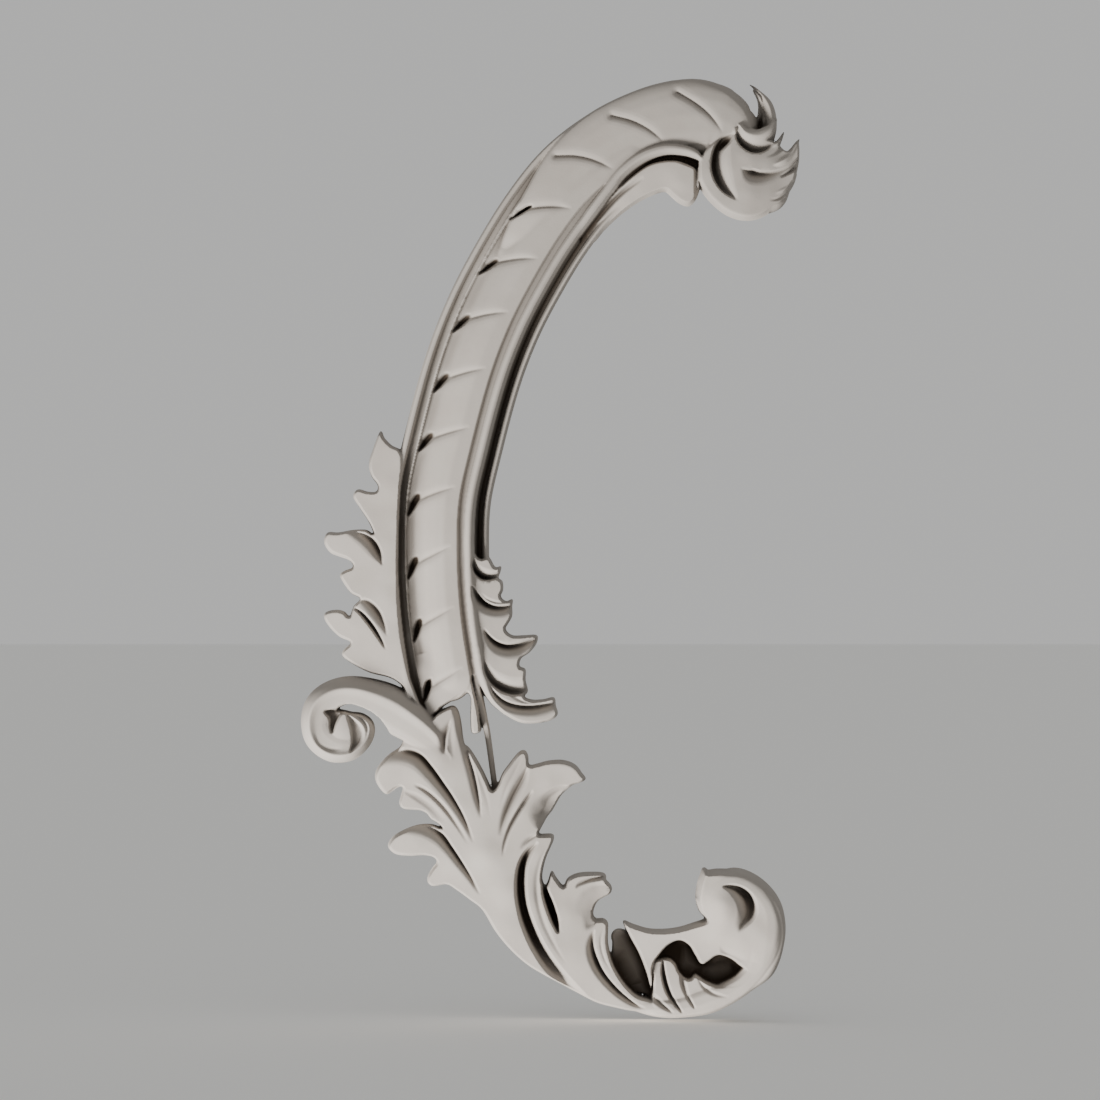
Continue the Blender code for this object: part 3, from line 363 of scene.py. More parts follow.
MIDDLE_SPRAY = {
    "hollow_bed": (FLAT, ((405, 916, 10, 11), (396, 902, 34, 10), (386, 882, 32, 9), (379, 870, 16, 9))),
}

LARGE_VOLUTE = {
    "hollow_floor": (FLAT, (
        (412, 897, 22, 9), (430, 892, 46, 9), (450, 896, 34, 10), (470, 895, 26, 12), (486, 893, 12, 18))),
    "ring": (RING, (
        (386, 925, 8, 36), (400, 927, 13, 50), (414, 928, 16, 60), (430, 927, 18, 62), (450, 922, 22, 66),
        (468, 915, 20, 69), (483.5, 904.5, 19.5, 73), (495, 891, 27, 77), (498.5, 868, 33, 81),
        (498, 848, 29, 84), (488.5, 832.5, 24, 86), (474, 824, 20, 86), (461, 827, 16, 84),
        (452, 834, 12, 82))),
    "skirt": (SKIRT, (
        (404.8, 894, 1, 45), (407.5, 888.5, 1, 42), (413, 886.5, 1, 41), (420, 886.5, 1, 42),
        (425, 890.5, 1, 46), (428, 897, 1, 50), (432.4, 902, 1, 53), (436.5, 903, 1, 55), (440.8, 899.6, 1, 55),
        (444, 901, 1, 57), (450, 904.8, 1, 59), (459, 908, 1, 62), (470, 908, 1, 65), (479, 905.2, 1, 68),
        (488.3, 897, 1, 72), (494, 891, 1, 66), (504, 893, 1, 52), (498, 904, 1, 50), (486, 914, 1, 50),
        (469, 922, 1, 48), (448, 927, 1, 46), (425, 929, 1, 44), (409, 928, 1, 44), (404.5, 920, 1, 48),
        (406, 912, 1, 49), (406, 903, 1, 48), (411, 905, 0, 53), (423, 908, 0, 57), (436, 915, 0, 60),
        (460, 916, 0, 67), (412, 922, 0, 58), (482, 910, 0, 71))),
    "face": (PLATE, (
        (382, 857, 0.8, 46), (391, 860, 0.8, 50), (403, 863.5, 1, 56), (416, 864, 1, 59), (428, 862.5, 1, 61),
        (440, 859, 1, 64), (450, 855, 1.5, 70), (445, 848, 2.5, 76), (442.5, 838, 3, 80), (444, 826, 3, 82),
        (447, 817.5, 1, 78), (448.5, 813.5, 1, 76), (451.5, 816, 1, 80), (460, 815, 3, 82), (474, 816, 4, 84),
        (487, 821, 4, 84), (498, 831, 4, 84), (507, 845, 4, 82), (510, 862, 4, 80), (507, 880, 4, 77),
        (499, 894, 3, 74), (487, 898, 1.5, 70), (478, 893, 1.5, 66), (470, 887, 1.5, 63), (460, 884, 1.5, 61),
        (452, 889, 1, 59), (446, 891.5, 1, 58), (441, 884, 1, 58), (436, 876, 1, 58), (428, 872, 1, 58),
        (419, 876, 1, 57), (412, 884, 1, 56), (407, 892, 1, 54), (406, 905, 0.8, 52), (405, 914, 0.8, 50),
        (401, 899, 0.8, 52), (395, 883, 0.8, 52), (388, 870, 0.8, 50), (462, 840, 0, 112), (463, 850, 0, 104),
        (462, 862, 0, 84), (478, 870, 0, 84), (492, 862, 0, 88), (440, 872, 0, 66), (410, 873, 0, 58),
        (500, 870, 0, 86), (462, 828, 0, 90))),
}

ARM_CUTS = {
    "crown_roll": (STEEP_LEFT, (
        (430, 164, 4, 50), (448, 166, 9, 38), (464, 170, 13, 30), (478, 178, 16, 22), (488, 189, 17, 14),
        (491, 202, 12, 10))),
    "neck_slot": (CUT, (
        (348, 297, 4.5, 11), (359, 283, 5, 13), (370, 270, 5, 18), (381, 259, 5, 26), (392, 251, 4.5, 36),
        (404, 243, 3, 47))),
    "neck_line": (CUT, (
        (374, 254, 1, 57), (386, 243, 3, 44), (399, 234.5, 4, 41), (412, 230.5, 5, 36), (424, 230.5, 6, 30),
        (434, 233, 8, 24), (442, 237, 6, 24))),
    "knob_side": (CUT, (
        (442, 234, 4, 36), (442.5, 244, 5, 38), (442, 254, 4, 36), (444, 264, 6, 14), (446, 270, 4, 4))),
}

VOLUTE_CUTS = {
    "hook": (PIT, (
        (137, 684, 1.5, 50), (143, 681.5, 2, 40), (150, 682, 1.5, 44), (156.5, 682, 1, 50),
        (151.5, 687, 1.5, 40), (148, 693.5, 2, 42), (144, 702.5, 1.5, 52), (141.5, 697, 1.5, 50),
        (141, 690, 2, 44))),
    "petal_shade": (PIT, (
        (155.5, 686, 1, 60), (162, 689.5, 2, 52), (167.5, 695, 3, 46), (170, 702, 3, 42), (168.5, 709, 3, 42),
        (163, 714.5, 2, 46), (158, 718, 1.5, 54), (159.5, 709, 1.5, 48), (158.5, 698, 1.5, 50))),
    "turn_shade": (GROOVE, (
        (130, 702, 4, 0.5), (133.5, 710.5, 7, 2.6), (141.5, 715, 7, 2.6), (151, 714.5, 4, 0.5))),
    "crescent": (PIT, (
        (462, 826, 2, 82), (471, 824.5, 2, 68), (480, 827, 2.5, 48), (487, 833, 2.5, 42), (491, 842, 3, 46),
        (490, 851, 3, 56), (484, 859, 4, 70), (476, 865, 5, 82), (472, 858, 9, 84), (474, 849, 10, 78),
        (473, 840, 10, 72), (468, 832, 7, 76))),
    "under_cheek": (SOFT_CUT, (
        (455, 874, 3, 74), (464, 880, 10, 64), (474, 885, 11, 66), (484, 889, 9, 71), (496, 889, 3, 78))),
    "sill_line": (GROOVE, ((443, 902, 3, 1), (448, 909.5, 5, 4.5), (456, 914.5, 5.5, 4.5), (467, 917, 3, 0.5))),
    "first_gap": (CUT, (
        (414.5, 889, 2, 34), (415, 899, 4, 26), (418, 911, 4.5, 30), (423, 921, 3.5, 40), (430, 930, 1.5, 58))),
    "second_gap": (CUT, ((429.5, 899, 3, 42), (431, 907, 5, 46), (434, 916, 4, 51), (440, 926, 2, 60))),
    "first_foot": (SOFT_CUT, ((403, 913, 3, 46), (408, 919, 7, 44), (415, 925, 6, 50), (422, 930, 2, 58))),
    "rim_line": (GROOVE, (
        (497, 829, 3, 0.5), (506, 843, 5, 1.8), (511, 862, 5, 1.8), (508, 881, 5, 1.8), (497, 899, 5, 1.8),
        (481, 916, 3, 0.5))),
}

HEAD_CUTS = {
    "crescent": (STEEP_RIGHT, (
        (473, 212, 3, 40), (465, 219, 11, 30), (462, 230, 16, 29), (462.5, 242, 17, 29), (467, 254, 13, 35),
        (475.5, 265, 3, 54))),
    "crescent_top": (CUT, ((472, 213, 2, 44), (467, 217, 6, 26), (461, 223, 5, 30))),
    "cup": (STEEP_RIGHT, (
        (476, 206, 3, 46), (479, 215, 9, 34), (488, 221.5, 11, 34), (498, 220.5, 9, 38), (507, 213, 3, 44))),
    "comma": (STEEP_LEFT, (
        (479, 241, 3, 54), (485, 246, 12, 38), (494, 248, 12, 38), (506, 246, 9, 40), (518, 240, 5, 38),
        (526, 232, 3, 26))),
    "flame_gap": (CUT, ((500, 230, 2, 50), (508, 226, 4, 42), (514, 220, 5, 30), (518, 212, 5, 10))),
    "low_flame_gap": (CUT, ((500, 266, 2, 50), (510, 264, 3, 40), (517, 258, 4, 30), (522, 251, 4, 10))),
    "end_gap": (CUT, ((512, 246, 2, 40), (520, 241, 4, 30), (527, 235, 5, 10))),
}

LEAF_CUTS = {
    "back_lobe": (STEEP_LEFT, (
        (154, 537, 3, 42), (163, 540.5, 9, 34), (172, 546, 13, 25), (178.5, 554, 11, 25), (184, 563.5, 2, 42))),
    "mid_lobe": (STEEP_LEFT, (
        (164, 593, 2, 42), (171, 597, 10, 32), (178, 605, 12, 28), (184, 614, 7, 36), (188, 622, 2, 46))),
    "mid_line": (CUT, (
        (161, 599, 1.5, 38), (168, 604.5, 3.5, 26), (176, 614, 4, 24), (182.5, 624, 3, 32),
        (187.5, 633, 1.5, 46))),
    "first_scoop": (STEEP_RIGHT, (
        (259.5, 559, 2, 42), (262, 567, 7, 20), (267.5, 571.5, 10, 16), (274, 572.5, 8, 18),
        (281.5, 571, 6, 20))),
    "second_scoop": (STEEP_LEFT, (
        (258, 582, 2, 44), (260.5, 590, 7, 26), (266.5, 598, 10, 20), (275, 602, 10, 20), (284, 602.5, 10, 22),
        (293, 600, 8, 20))),
    "third_scoop": (STEEP_LEFT, (
        (267, 616, 2, 46), (270.5, 624, 6, 28), (277.5, 631.5, 10, 20), (287, 635, 12, 17), (298, 634, 13, 17),
        (307, 630, 11, 18), (314, 626, 7, 18))),
    "fourth_scoop": (STEEP_RIGHT, (
        (268, 641, 2, 48), (272, 651, 8, 34), (279, 658.5, 13, 24), (288.5, 663, 15, 20), (298, 663.5, 15, 20),
        (305, 661, 11, 20))),
    "fifth_scoop": (STEEP_LEFT, (
        (271, 661, 2, 48), (276, 671, 5, 32), (284, 679, 8, 24), (295, 683, 9, 20), (307, 684, 10, 18),
        (318, 682.5, 10, 18), (329, 679.5, 8, 18))),
    "second_lip": (GROOVE, ((264, 586, 2, 0), (270, 592, 4, 3), (279, 595, 4, 3), (289, 594, 3, 2))),
    "fifth_lip": (GROOVE, ((286, 668, 3, 0), (294, 673, 5, 2.5), (303, 677, 4, 3), (313, 677, 3, 2))),
}

SPRAY_CUTS = {
    "upper_roll": (STEEP_LEFT, (
        (180, 730, 2, 44), (190, 724, 9, 38), (201, 721.5, 14, 30), (212, 724.5, 15, 27), (221, 733, 13, 27),
        (230, 744, 11, 28), (240.5, 758, 9, 32), (251, 775, 6, 38), (261, 797, 2, 52))),
    "barb_line": (CUT, (
        (206, 742, 2, 50), (217, 747, 4, 43), (227, 754.5, 4.5, 41), (236, 764, 4.5, 41), (245, 776, 4, 43),
        (253, 789, 3.5, 46), (262, 808, 2, 54))),
    "barb_dip": (CUT, (
        (204, 750, 4, 44), (214, 755, 7, 43), (226, 764, 7, 43), (238, 779, 6, 46), (248, 795, 3, 52))),
    "lower_roll": (STEEP_LEFT, (
        (196, 784, 2, 40), (207, 781.5, 8, 34), (219, 782.5, 11, 28), (230, 788, 12, 25), (239, 798, 9, 26),
        (248, 810, 7, 30), (257, 823, 5, 38), (268, 841, 2, 50))),
    "tip_fold": (STEEP_LEFT, (
        (240.5, 690, 1, 48), (236.5, 697, 6, 41), (233.5, 705, 8, 38), (233.5, 714, 7, 42), (236, 722, 2, 56))),
    "tip_hollow": (GROOVE, ((243, 686, 3, 0), (241, 696, 9, 2), (241, 708, 9, 2), (243, 722, 4, 0))),
    "tip_flank": (STEEP_LEFT, (
        (242, 682, 2, 44), (246, 689, 8, 24), (248, 699, 8, 20), (250.5, 709, 8, 22), (252.5, 720, 7, 32),
        (257, 736, 7.5, 32), (260.5, 752, 7, 36), (264, 768, 4, 46), (266, 782, 1, 56))),
    "spike_line": (GROOVE, ((258, 724, 3, 0), (264, 738, 6, 1.0), (270, 755, 6, 1.0), (273, 772, 3, 0))),
    "spike_valley": (SOFT_CUT, (
        (304, 729, 3, 42), (299.5, 740, 10, 34), (292.5, 753, 12, 34), (286, 768, 10, 39), (281.5, 784, 6, 48),
        (280, 796, 2, 56))),
    "right_spike_line": (GROOVE, ((299, 722, 3, 0), (293, 734, 6, 1.6), (286, 748, 6, 1.6), (281, 764, 3, 0))),
    "fan_crease": (CUT, (
        (309, 747, 2, 50), (302.5, 757, 3.5, 36), (296, 767, 3.5, 36), (289.5, 779, 3.5, 40), (285, 792, 3, 45),
        (283, 806, 2, 52), (282.5, 816, 1, 57))),
    "fan_dip": (PIT, (
        (303, 768, 15, 42), (309, 755, 14, 36), (320, 748, 7, 30), (334, 744, 5, 32), (340, 752, 1, 24),
        (331, 763, 1, 18), (324, 773, 1, 20), (317, 781, 1, 30), (308, 779, 14, 42))),
    "hood_line": (STEEP_LEFT, ((312, 784, 3, 44), (304, 788, 5, 42), (298, 795, 4, 48), (294, 806, 2, 56))),
    "channel": (CUT, (
        (311, 792, 3, 46), (303.5, 801, 7, 28), (299, 813, 9, 20), (298, 829, 10, 17), (300, 845, 10.5, 18),
        (305, 861, 11.5, 20), (313, 878, 12, 24), (324, 894, 12, 31), (339, 909, 9, 42), (353, 919, 3, 52))),
    "strap_dip": (GROOVE, (
        (321, 793, 3, 0), (315, 805, 7, 2), (311.5, 820, 9, 2.8), (312, 838, 9, 3), (317, 857, 9, 2.6),
        (326, 876, 6, 1.5), (336, 892, 3, 0))),
    "strap_slot": (CUT, (
        (317, 825, 4, 20), (318.5, 833, 6, 8), (322, 843, 8, 5), (326, 855, 7, 8), (328.5, 864, 3, 34))),
    "finger_fold": (CUT, (
        (341, 833, 1, 54), (345.5, 826, 3, 42), (354, 822, 4, 36), (362, 820.5, 4, 34), (370, 819, 3, 32))),
    "finger_scoop": (PIT, (
        (344, 835, 6, 47), (350, 828, 5, 44), (360, 824, 3, 41), (370, 824, 3, 41), (379, 831, 1, 39),
        (371, 843, 1, 36), (365, 851, 1, 36), (358, 861, 4, 42), (350, 865, 8, 52), (344, 855, 8, 52),
        (342, 844, 7, 49))),
    "inner_quirk": (STEEP_LEFT, (
        (359, 861, 1, 52), (355.5, 868, 5, 42), (354.5, 878, 8, 32), (357.5, 889, 9, 26), (363.5, 900, 8, 26),
        (372, 910, 7, 30), (381, 918, 6, 36), (392, 925, 4, 46), (404, 929, 2, 56))),
    "inner_strap_line": (GROOVE, ((366, 860, 2, 0), (363.5, 872, 3, 2), (366, 885, 3, 2), (373, 899, 2, 0))),
}


def flow(knots, steps=None, closed=False):
    """Rows on a smooth curve through the knots, evenly spaced along it.

    Each span between two knots is the Catmull-Rom cubic of the four knots round it.
    """
    rows = np.array(knots, float)
    if closed:
        rows = np.vstack([rows, rows[:1]])
        padded = np.vstack([rows[-2:-1], rows, rows[1:2]])
    else:
        padded = np.vstack([2 * rows[:1] - rows[1:2], rows, 2 * rows[-1:] - rows[-2:-1]])
    share = np.linspace(0, 1, SPAN_STEPS + 1)[:-1, None]
    spans = [0.5 * (2 * start + (end - before) * share + (2 * before - 5 * start + 4 * end - after) * share ** 2
                    + (3 * start - before - 3 * end + after) * share ** 3)
             for before, start, end, after in zip(padded, padded[1:], padded[2:], padded[3:])]
    fine = np.vstack(spans + [rows[-1:]])
    run = np.concatenate([[0], np.cumsum(np.hypot(*np.diff(fine[:, :2], axis=0).T))])
    step = OUTLINE_STEP if closed else PATH_STEP
    places = np.linspace(0, run[-1], steps or max(FEWEST_PLACES, int(run[-1] / step)))
    return np.stack([np.interp(places, run, column) for column in fine.T], axis=1)


def beside(path, offset):
    """The path moved sideways, to the right of the way it runs."""
    along = np.gradient(path, axis=0)
    along /= np.linalg.norm(along, axis=1)[:, None]
    return path + np.stack([-along[:, 1], along[:, 0]], axis=1) * np.asarray(offset).reshape(-1, 1)


def profile_curve(profile):
    """A profile's table as evenly spaced samples, with its corners rounded by a running average."""
    across, share = np.array(profile.table, float).T
    samples = np.interp(np.linspace(-1, 1, PROFILE_SAMPLES), across, share)
    window = np.hanning(PROFILE_WINDOW)
    padded = np.pad(samples, PROFILE_WINDOW // 2, mode="reflect", reflect_type="odd")
    return np.convolve(padded, window / window.sum(), mode="valid")


def nearest(points, path):
    """Where along the path each point's nearest place is, how far off that is, and how far to its right."""
    start, span = path[:-1], np.diff(path, axis=0)
    reach = (span ** 2).sum(1)
    gap_x = points[:, :1] - start[:, 0]
    gap_y = points[:, 1:] - start[:, 1]
    share = np.clip((gap_x * span[:, 0] + gap_y * span[:, 1]) / reach, 0, 1)
    gap_x -= share * span[:, 0]
    gap_y -= share * span[:, 1]
    square = gap_x ** 2 + gap_y ** 2
    best = square.argmin(1)
    pick = (np.arange(len(points)), best)
    unit = span[best] / np.sqrt(reach[best])[:, None]
    right = gap_y[pick] * unit[:, 0] - gap_x[pick] * unit[:, 1]
    return best + share[pick], np.sqrt(square[pick]), right


def within(points, path):
    """Whether each point lies inside a closed path.

    It does where a line drawn from it to the right crosses the path an odd number of times.
    """
    across, down = points[:, :1], points[:, 1:]
    (left, top), (right, bottom) = path[:-1].T, path[1:].T
    level = (top > down) != (bottom > down)
    slope = (right - left) / np.where(bottom == top, 1, bottom - top)
    return (level & (across < left + slope * (down - top))).sum(1) % 2 == 1


def in_parts(work, points, *given):
    """The work done on a few thousand points at a time, so that its tables stay small, and put together again."""
    found = [work(some, *given) for some in np.array_split(points, len(points) // POINTS_AT_A_TIME + 1)]
    return [np.concatenate(column) for column in zip(*found)]


class Relief:
    """A height in millimetres over the panel for each point of a grid on the squared paper."""

    def __init__(self, paper, per_square, square_mm, relief_mm):
        left, top, right, bottom = paper
        self.across = np.arange(left, right, 1 / per_square, dtype=np.float32)
        self.down = np.arange(top, bottom, 1 / per_square, dtype=np.float32)
        self.height = np.full((len(self.down), len(self.across)), BARE_HEIGHT, np.float32)
        self.square_mm, self.relief_mm = square_mm, relief_mm

    def near(self, path, widths):
        """The part of the grid that a rib or a cut can reach, as a slice, and its points in one list."""
        reach = widths.max() / 2 + MARGIN
        rows = np.searchsorted(self.down, (path[:, 1].min() - reach, path[:, 1].max() + reach))
        columns = np.searchsorted(self.across, (path[:, 0].min() - reach, path[:, 0].max() + reach))
        part = slice(*rows), slice(*columns)
        grid = np.meshgrid(self.across[part[1]], self.down[part[0]])
        return part, np.stack([side.ravel() for side in grid], axis=1)

    def carve(self, profile, knots):
        """One rib, cut, groove, plate or pit. Heights are in hundredths of the relief."""
        if profile.kind in ("plate", "pit"):
            self.plate(profile, np.array(knots, float))
            return
        rows = flow(knots)
        self.run(profile, rows[:, :2], rows[:, 2], rows[:, 3] / 100 * self.relief_mm)

    def join(self, part, made, blend):
        """The higher of what is there and what is made, rounded where the two are nearly level."""
        here = self.height[part]
        gap = np.maximum(blend - np.abs(here - made), 0)
        self.height[part] = np.maximum(here, made) + gap ** 2 / (4 * blend)

    def fall(self, inside, radius):
        """How far a surface drops near its edge, from how far inside the edge it is, in squares.

        Within the radius it follows a quarter of a circle, and from the flank's line outwards the flank's slope.
        """
        inset = inside * self.square_mm - FLANK_INSET
        into = np.clip(radius - inset, 0, radius)
        return radius - np.sqrt(radius ** 2 - into ** 2) + np.maximum(-inset, 0) * FLANK_SLOPE

    def plate(self, profile, knots):
        """A broad smooth surface inside a closed outline, or the soft floor of a pit.

        Its height is the mean of the knots' heights, less the rounding of the edge, and past the edge it falls at
        the flank's slope. A knot's weight in that mean is one over the cube of its distance, with the softness added
        to the square of the distance, so that no knot stands out as a point. A pit's wall takes what is there down
        to the floor in a smooth step.
        """
        rows = flow(knots[knots[:, 2] > 0], closed=True)
        path = rows[:, :2].astype(np.float32)
        part, points = self.near(path, np.array([2.0 * MARGIN]))
        softness = PIT_SOFTNESS if profile.kind == "pit" else PLATE_SOFTNESS

        def heights(some):
            spread = ((some[:, None] - knots[:, :2].astype(np.float32)) ** 2).sum(2) + softness
            weight = spread ** -1.5
            return ((weight * knots[:, 3]).sum(1) / weight.sum(1), within(some, path), *nearest(some, path)[:2])

        level, inside, where, off = in_parts(heights, points)
        edge = np.interp(where, np.arange(len(rows)), rows[:, 2])
        if profile.kind == "pit":
            deep = np.clip(off * inside / edge, 0, 1)
            here = self.height[part]
            down = np.maximum(here - (level / 100 * self.relief_mm).reshape(here.shape), 0)
            self.height[part] = here - down * (deep * deep * (3 - 2 * deep)).reshape(here.shape)
            return
        radius = edge * self.square_mm
        made = level / 100 * self.relief_mm - self.fall(np.where(inside, off, -off), radius)
        self.join(part, made.reshape(self.height[part].shape), profile.blend)

    def run(self, profile, path, widths, levels):
        """A profile carried along a path, with round ends.

        A point's place across is its distance from the path over half the width. Its height is the level there
        times the profile, less the rounding of the edge, and past the edge it falls at the flank's slope.
        """
        part, points = self.near(path, widths)
        if not len(points):
            return
        curve, steps = profile_curve(profile), np.arange(len(path))
        where, off, right = in_parts(nearest, points, path.astype(np.float32))
        half = np.interp(where, steps, widths) / 2
        level = np.interp(where, steps, levels)
        across = np.minimum(off / half, 1)
        lean = 0.5 + 0.5 * right / np.maximum(off, 1e-6)
        places = np.linspace(-1, 1, len(curve))
        share = np.interp(across, places, curve) * lean + np.interp(-across, places, curve) * (1 - lean)
        here = self.height[part]
        shape = here.shape
        if profile.kind == "rib":
            radius = np.minimum(profile.edge, half * self.square_mm * EDGE_SHARE)
            self.join(part, (level * share - self.fall(half - off, radius)).reshape(shape), profile.blend)
            return
        share = np.where(off < half, share, 0).reshape(shape)
        level = level.reshape(shape)
        if profile.kind == "cut":
            level = np.maximum(here - level, 0)
        self.height[part] = here - level * share

    def soften(self, times):
        """Each point keeps half of its height and takes a quarter of each neighbour's, along and then across."""
        for _ in range(times):
            for axis in (0, 1):
                edge = np.pad(self.height, [(1, 1) if a == axis else (0, 0) for a in (0, 1)], mode="edge")
                before, after = (edge[:-2], edge[2:]) if axis == 0 else (edge[:, :-2], edge[:, 2:])
                self.height = self.height / 2 + (before + after) / 4


def blurred(image, radius):
    """A running average over a square of that radius in grid points, done three times: nearly a Gaussian."""
    for _ in range(3):
        for axis in (0, 1):
            total = np.cumsum(np.pad(image, [(radius + 1, radius) if a == axis else (0, 0) for a in (0, 1)],
                                     mode="edge"), axis=axis, dtype=np.float64)
            high = total[2 * radius + 1:] if axis == 0 else total[:, 2 * radius + 1:]
            low = total[:-2 * radius - 1] if axis == 0 else total[:, :-2 * radius - 1]
            image = (high - low) / (2 * radius + 1)
    return image.astype(np.float32)


def arm(relief):
    """The moulded arm. Each member is a profile run at its own distance beside the arm's line.

    It starts and ends at shares of the line, and its height may change evenly on the way.
    """
    square = relief.square_mm
    line = flow(ARM_LINE, ARM_STEPS)
    half = BAND_WIDTH / 2
    rim = -half - COVE_WIDTH - RIM_WIDTH / 2
    ridge = half + QUIRK_WIDTH + RIDGE_WIDTH / 2
    slot = ridge + RIDGE_WIDTH / 2 + SLOT_WIDTH / 2
    bead = slot + SLOT_WIDTH / 2 + BEAD_WIDTH / 2
    ground = (rim - RIM_WIDTH / 2 + slot) / 2

    def member(profile, offset, width, height, start, end, at_end=None):
        part = line[int(start * (ARM_STEPS - 1)):int(end * (ARM_STEPS - 1)) + 1]
        widths = np.full(len(part), width / square)
        relief.run(profile, beside(part, offset / square), widths, np.linspace(height, at_end or height, len(part)))

    member(FLAT, ground, 2 * (slot - ground), COVE_HEIGHT, 0.125, 0.93)
    member(RIM, rim, RIM_WIDTH, RIM_HEIGHT, 0.075, 0.985, BAND_HEIGHT * 0.62)
    member(ROUND, -half - COVE_WIDTH * 0.4, COVE_WIDTH * 0.35, FILLET_HEIGHT, 0.09, 0.82, BAND_HEIGHT * 0.8)
    member(SWELLING, 0, BAND_WIDTH, BAND_HEIGHT, 0.085, 0.90)
    member(QUIRK, half + QUIRK_WIDTH / 2, QUIRK_WIDTH * 2.4, QUIRK_HEIGHT, 0.09, 0.86)
    member(RIDGE, ridge, RIDGE_WIDTH, RIDGE_HEIGHT, 0.11, 0.80, RIDGE_HEIGHT * 0.95)
    member(FLAT, slot + 1, SLOT_WIDTH + BEAD_WIDTH - 1, SLOT_HEIGHT, 0.235, 0.86)
    member(BEAD, bead, BEAD_WIDTH, BEAD_HEIGHT, 0.235, 0.86)


def nicks(relief):
    """Twelve slanting nicks across the band, and a drilled drop at the outer end of each of the lower nine.

    A place on the band is so far along the arm's line and so many half widths of the band beside it. A nick bows by
    a parabola, which is nought at both of its ends.
    """
    square = relief.square_mm
    line = flow((*ARM_LINE, NICK_LINE_END), NICK_LINE_STEPS)
    run = np.concatenate([[0], np.cumsum(np.hypot(*np.diff(line, axis=0).T))]) * square
    shoulder = beside(line, BAND_WIDTH / square / 2)

    def spot(along, across):
        middle, edge = ([np.interp(along, run, axis) for axis in path.T] for path in (line, shoulder))
        return [m + (e - m) * across for m, e in zip(middle, edge)]

    for i, start in enumerate(np.linspace(NICK_FIRST, NICK_LAST, NICK_COUNT)):
        lead = NICK_LEAD + (NICK_LEAD_AT_HEAD - NICK_LEAD) * i / (NICK_COUNT - 1)
        bow = NICK_BOW_AT_HEAD * (i / (NICK_COUNT - 1)) ** 1.5
        outer = NICK_OUTER if i < DROP_COUNT else NICK_OUTER_AT_HEAD
        for width, depth in NICK_GROOVES:
            knots = []
            for share, w, d in NICK_TAPER:
                along = start + lead * share + bow * 4 * share * (1 - share)
                knots.append((*spot(along, outer + (NICK_INNER - outer) * share), width * w, depth * d))
            relief.carve(GROOVE, knots)
        if i < DROP_COUNT:
            slim = 1 - DROP_SLIMMING * (i / (DROP_COUNT - 1)) ** 4
            relief.carve(CUT, [(*spot(start + along, across), width * slim, height)
                               for along, across, width, height in DROP])


def carve_all(relief):
    """The whole onlay, in the order in which it is laid.

    The arm, its ends and its nicks come first, then the leaves, head and scrolls, and then the cuts in all of them.
    One light softening comes last.
    """
    def lay(*groups):
        for group in groups:
            for profile, knots in group.values():
                relief.carve(profile, knots)

    arm(relief)
    lay(ARM_ENDS)
    nicks(relief)
    lay(OUTER_LEAF, INNER_LEAF, HEAD, LOWER_SCROLL, MIDDLE_SPRAY, LARGE_VOLUTE)
    lay(ARM_CUTS, LEAF_CUTS, SPRAY_CUTS, HEAD_CUTS, VOLUTE_CUTS)
    relief.soften(1)


def closed_surface(relief):
    """Corners and faces of the relief closed by a flat back.

    A point of the grid keeps its place and stands out by its height. One that lies outside, next to the onlay's
    edge, slides to the mean of the places where the height crosses nought on the way to its inside neighbours.
    """
    height = relief.height
    inside = height > 0
    grid = np.stack(np.meshgrid(relief.across, relief.down), axis=-1).astype(np.float64)
    total, count = np.zeros_like(grid), np.zeros(height.shape)
    for down in (-1, 0, 1):
        for across in (-1, 0, 1):
            there = np.roll(height, (-down, -across), (0, 1))
            crossing = (there > 0) & ~inside
            share = np.where(crossing, height / np.where(crossing, height - there, 1), 0)
            total += crossing[..., None] * share[..., None] * np.array((across, down))
            count += crossing
    step = relief.across[1] - relief.across[0]
    edge = count > 0
    grid[edge] += (total[edge] / count[edge][:, None]) * step
    used = inside[:-1, :-1] | inside[1:, :-1] | inside[:-1, 1:] | inside[1:, 1:]
    number = np.arange(height.size).reshape(height.shape)
    corners = np.stack([number[:-1, :-1], number[1:, :-1], number[1:, 1:], number[:-1, 1:]], axis=-1)[used]
    back = corners[:, ::-1] + np.where(inside.ravel()[corners[:, ::-1]], height.size, 0)
    faces = np.vstack([corners, back])
    kept, faces = np.unique(faces, return_inverse=True)
    place = (grid - ORIGIN_SQUARE).reshape(-1, 2) * relief.square_mm / 1000
    out = np.maximum(height, 0).ravel() / 1000
    points = np.empty((2 * height.size, 3))
    points[:, 0] = np.tile(place[:, 0], 2)
    points[:, 1] = np.concatenate([-out, np.zeros(height.size)])
    points[:, 2] = np.tile(-place[:, 1], 2)
    return points[kept], faces.reshape(-1, 4)


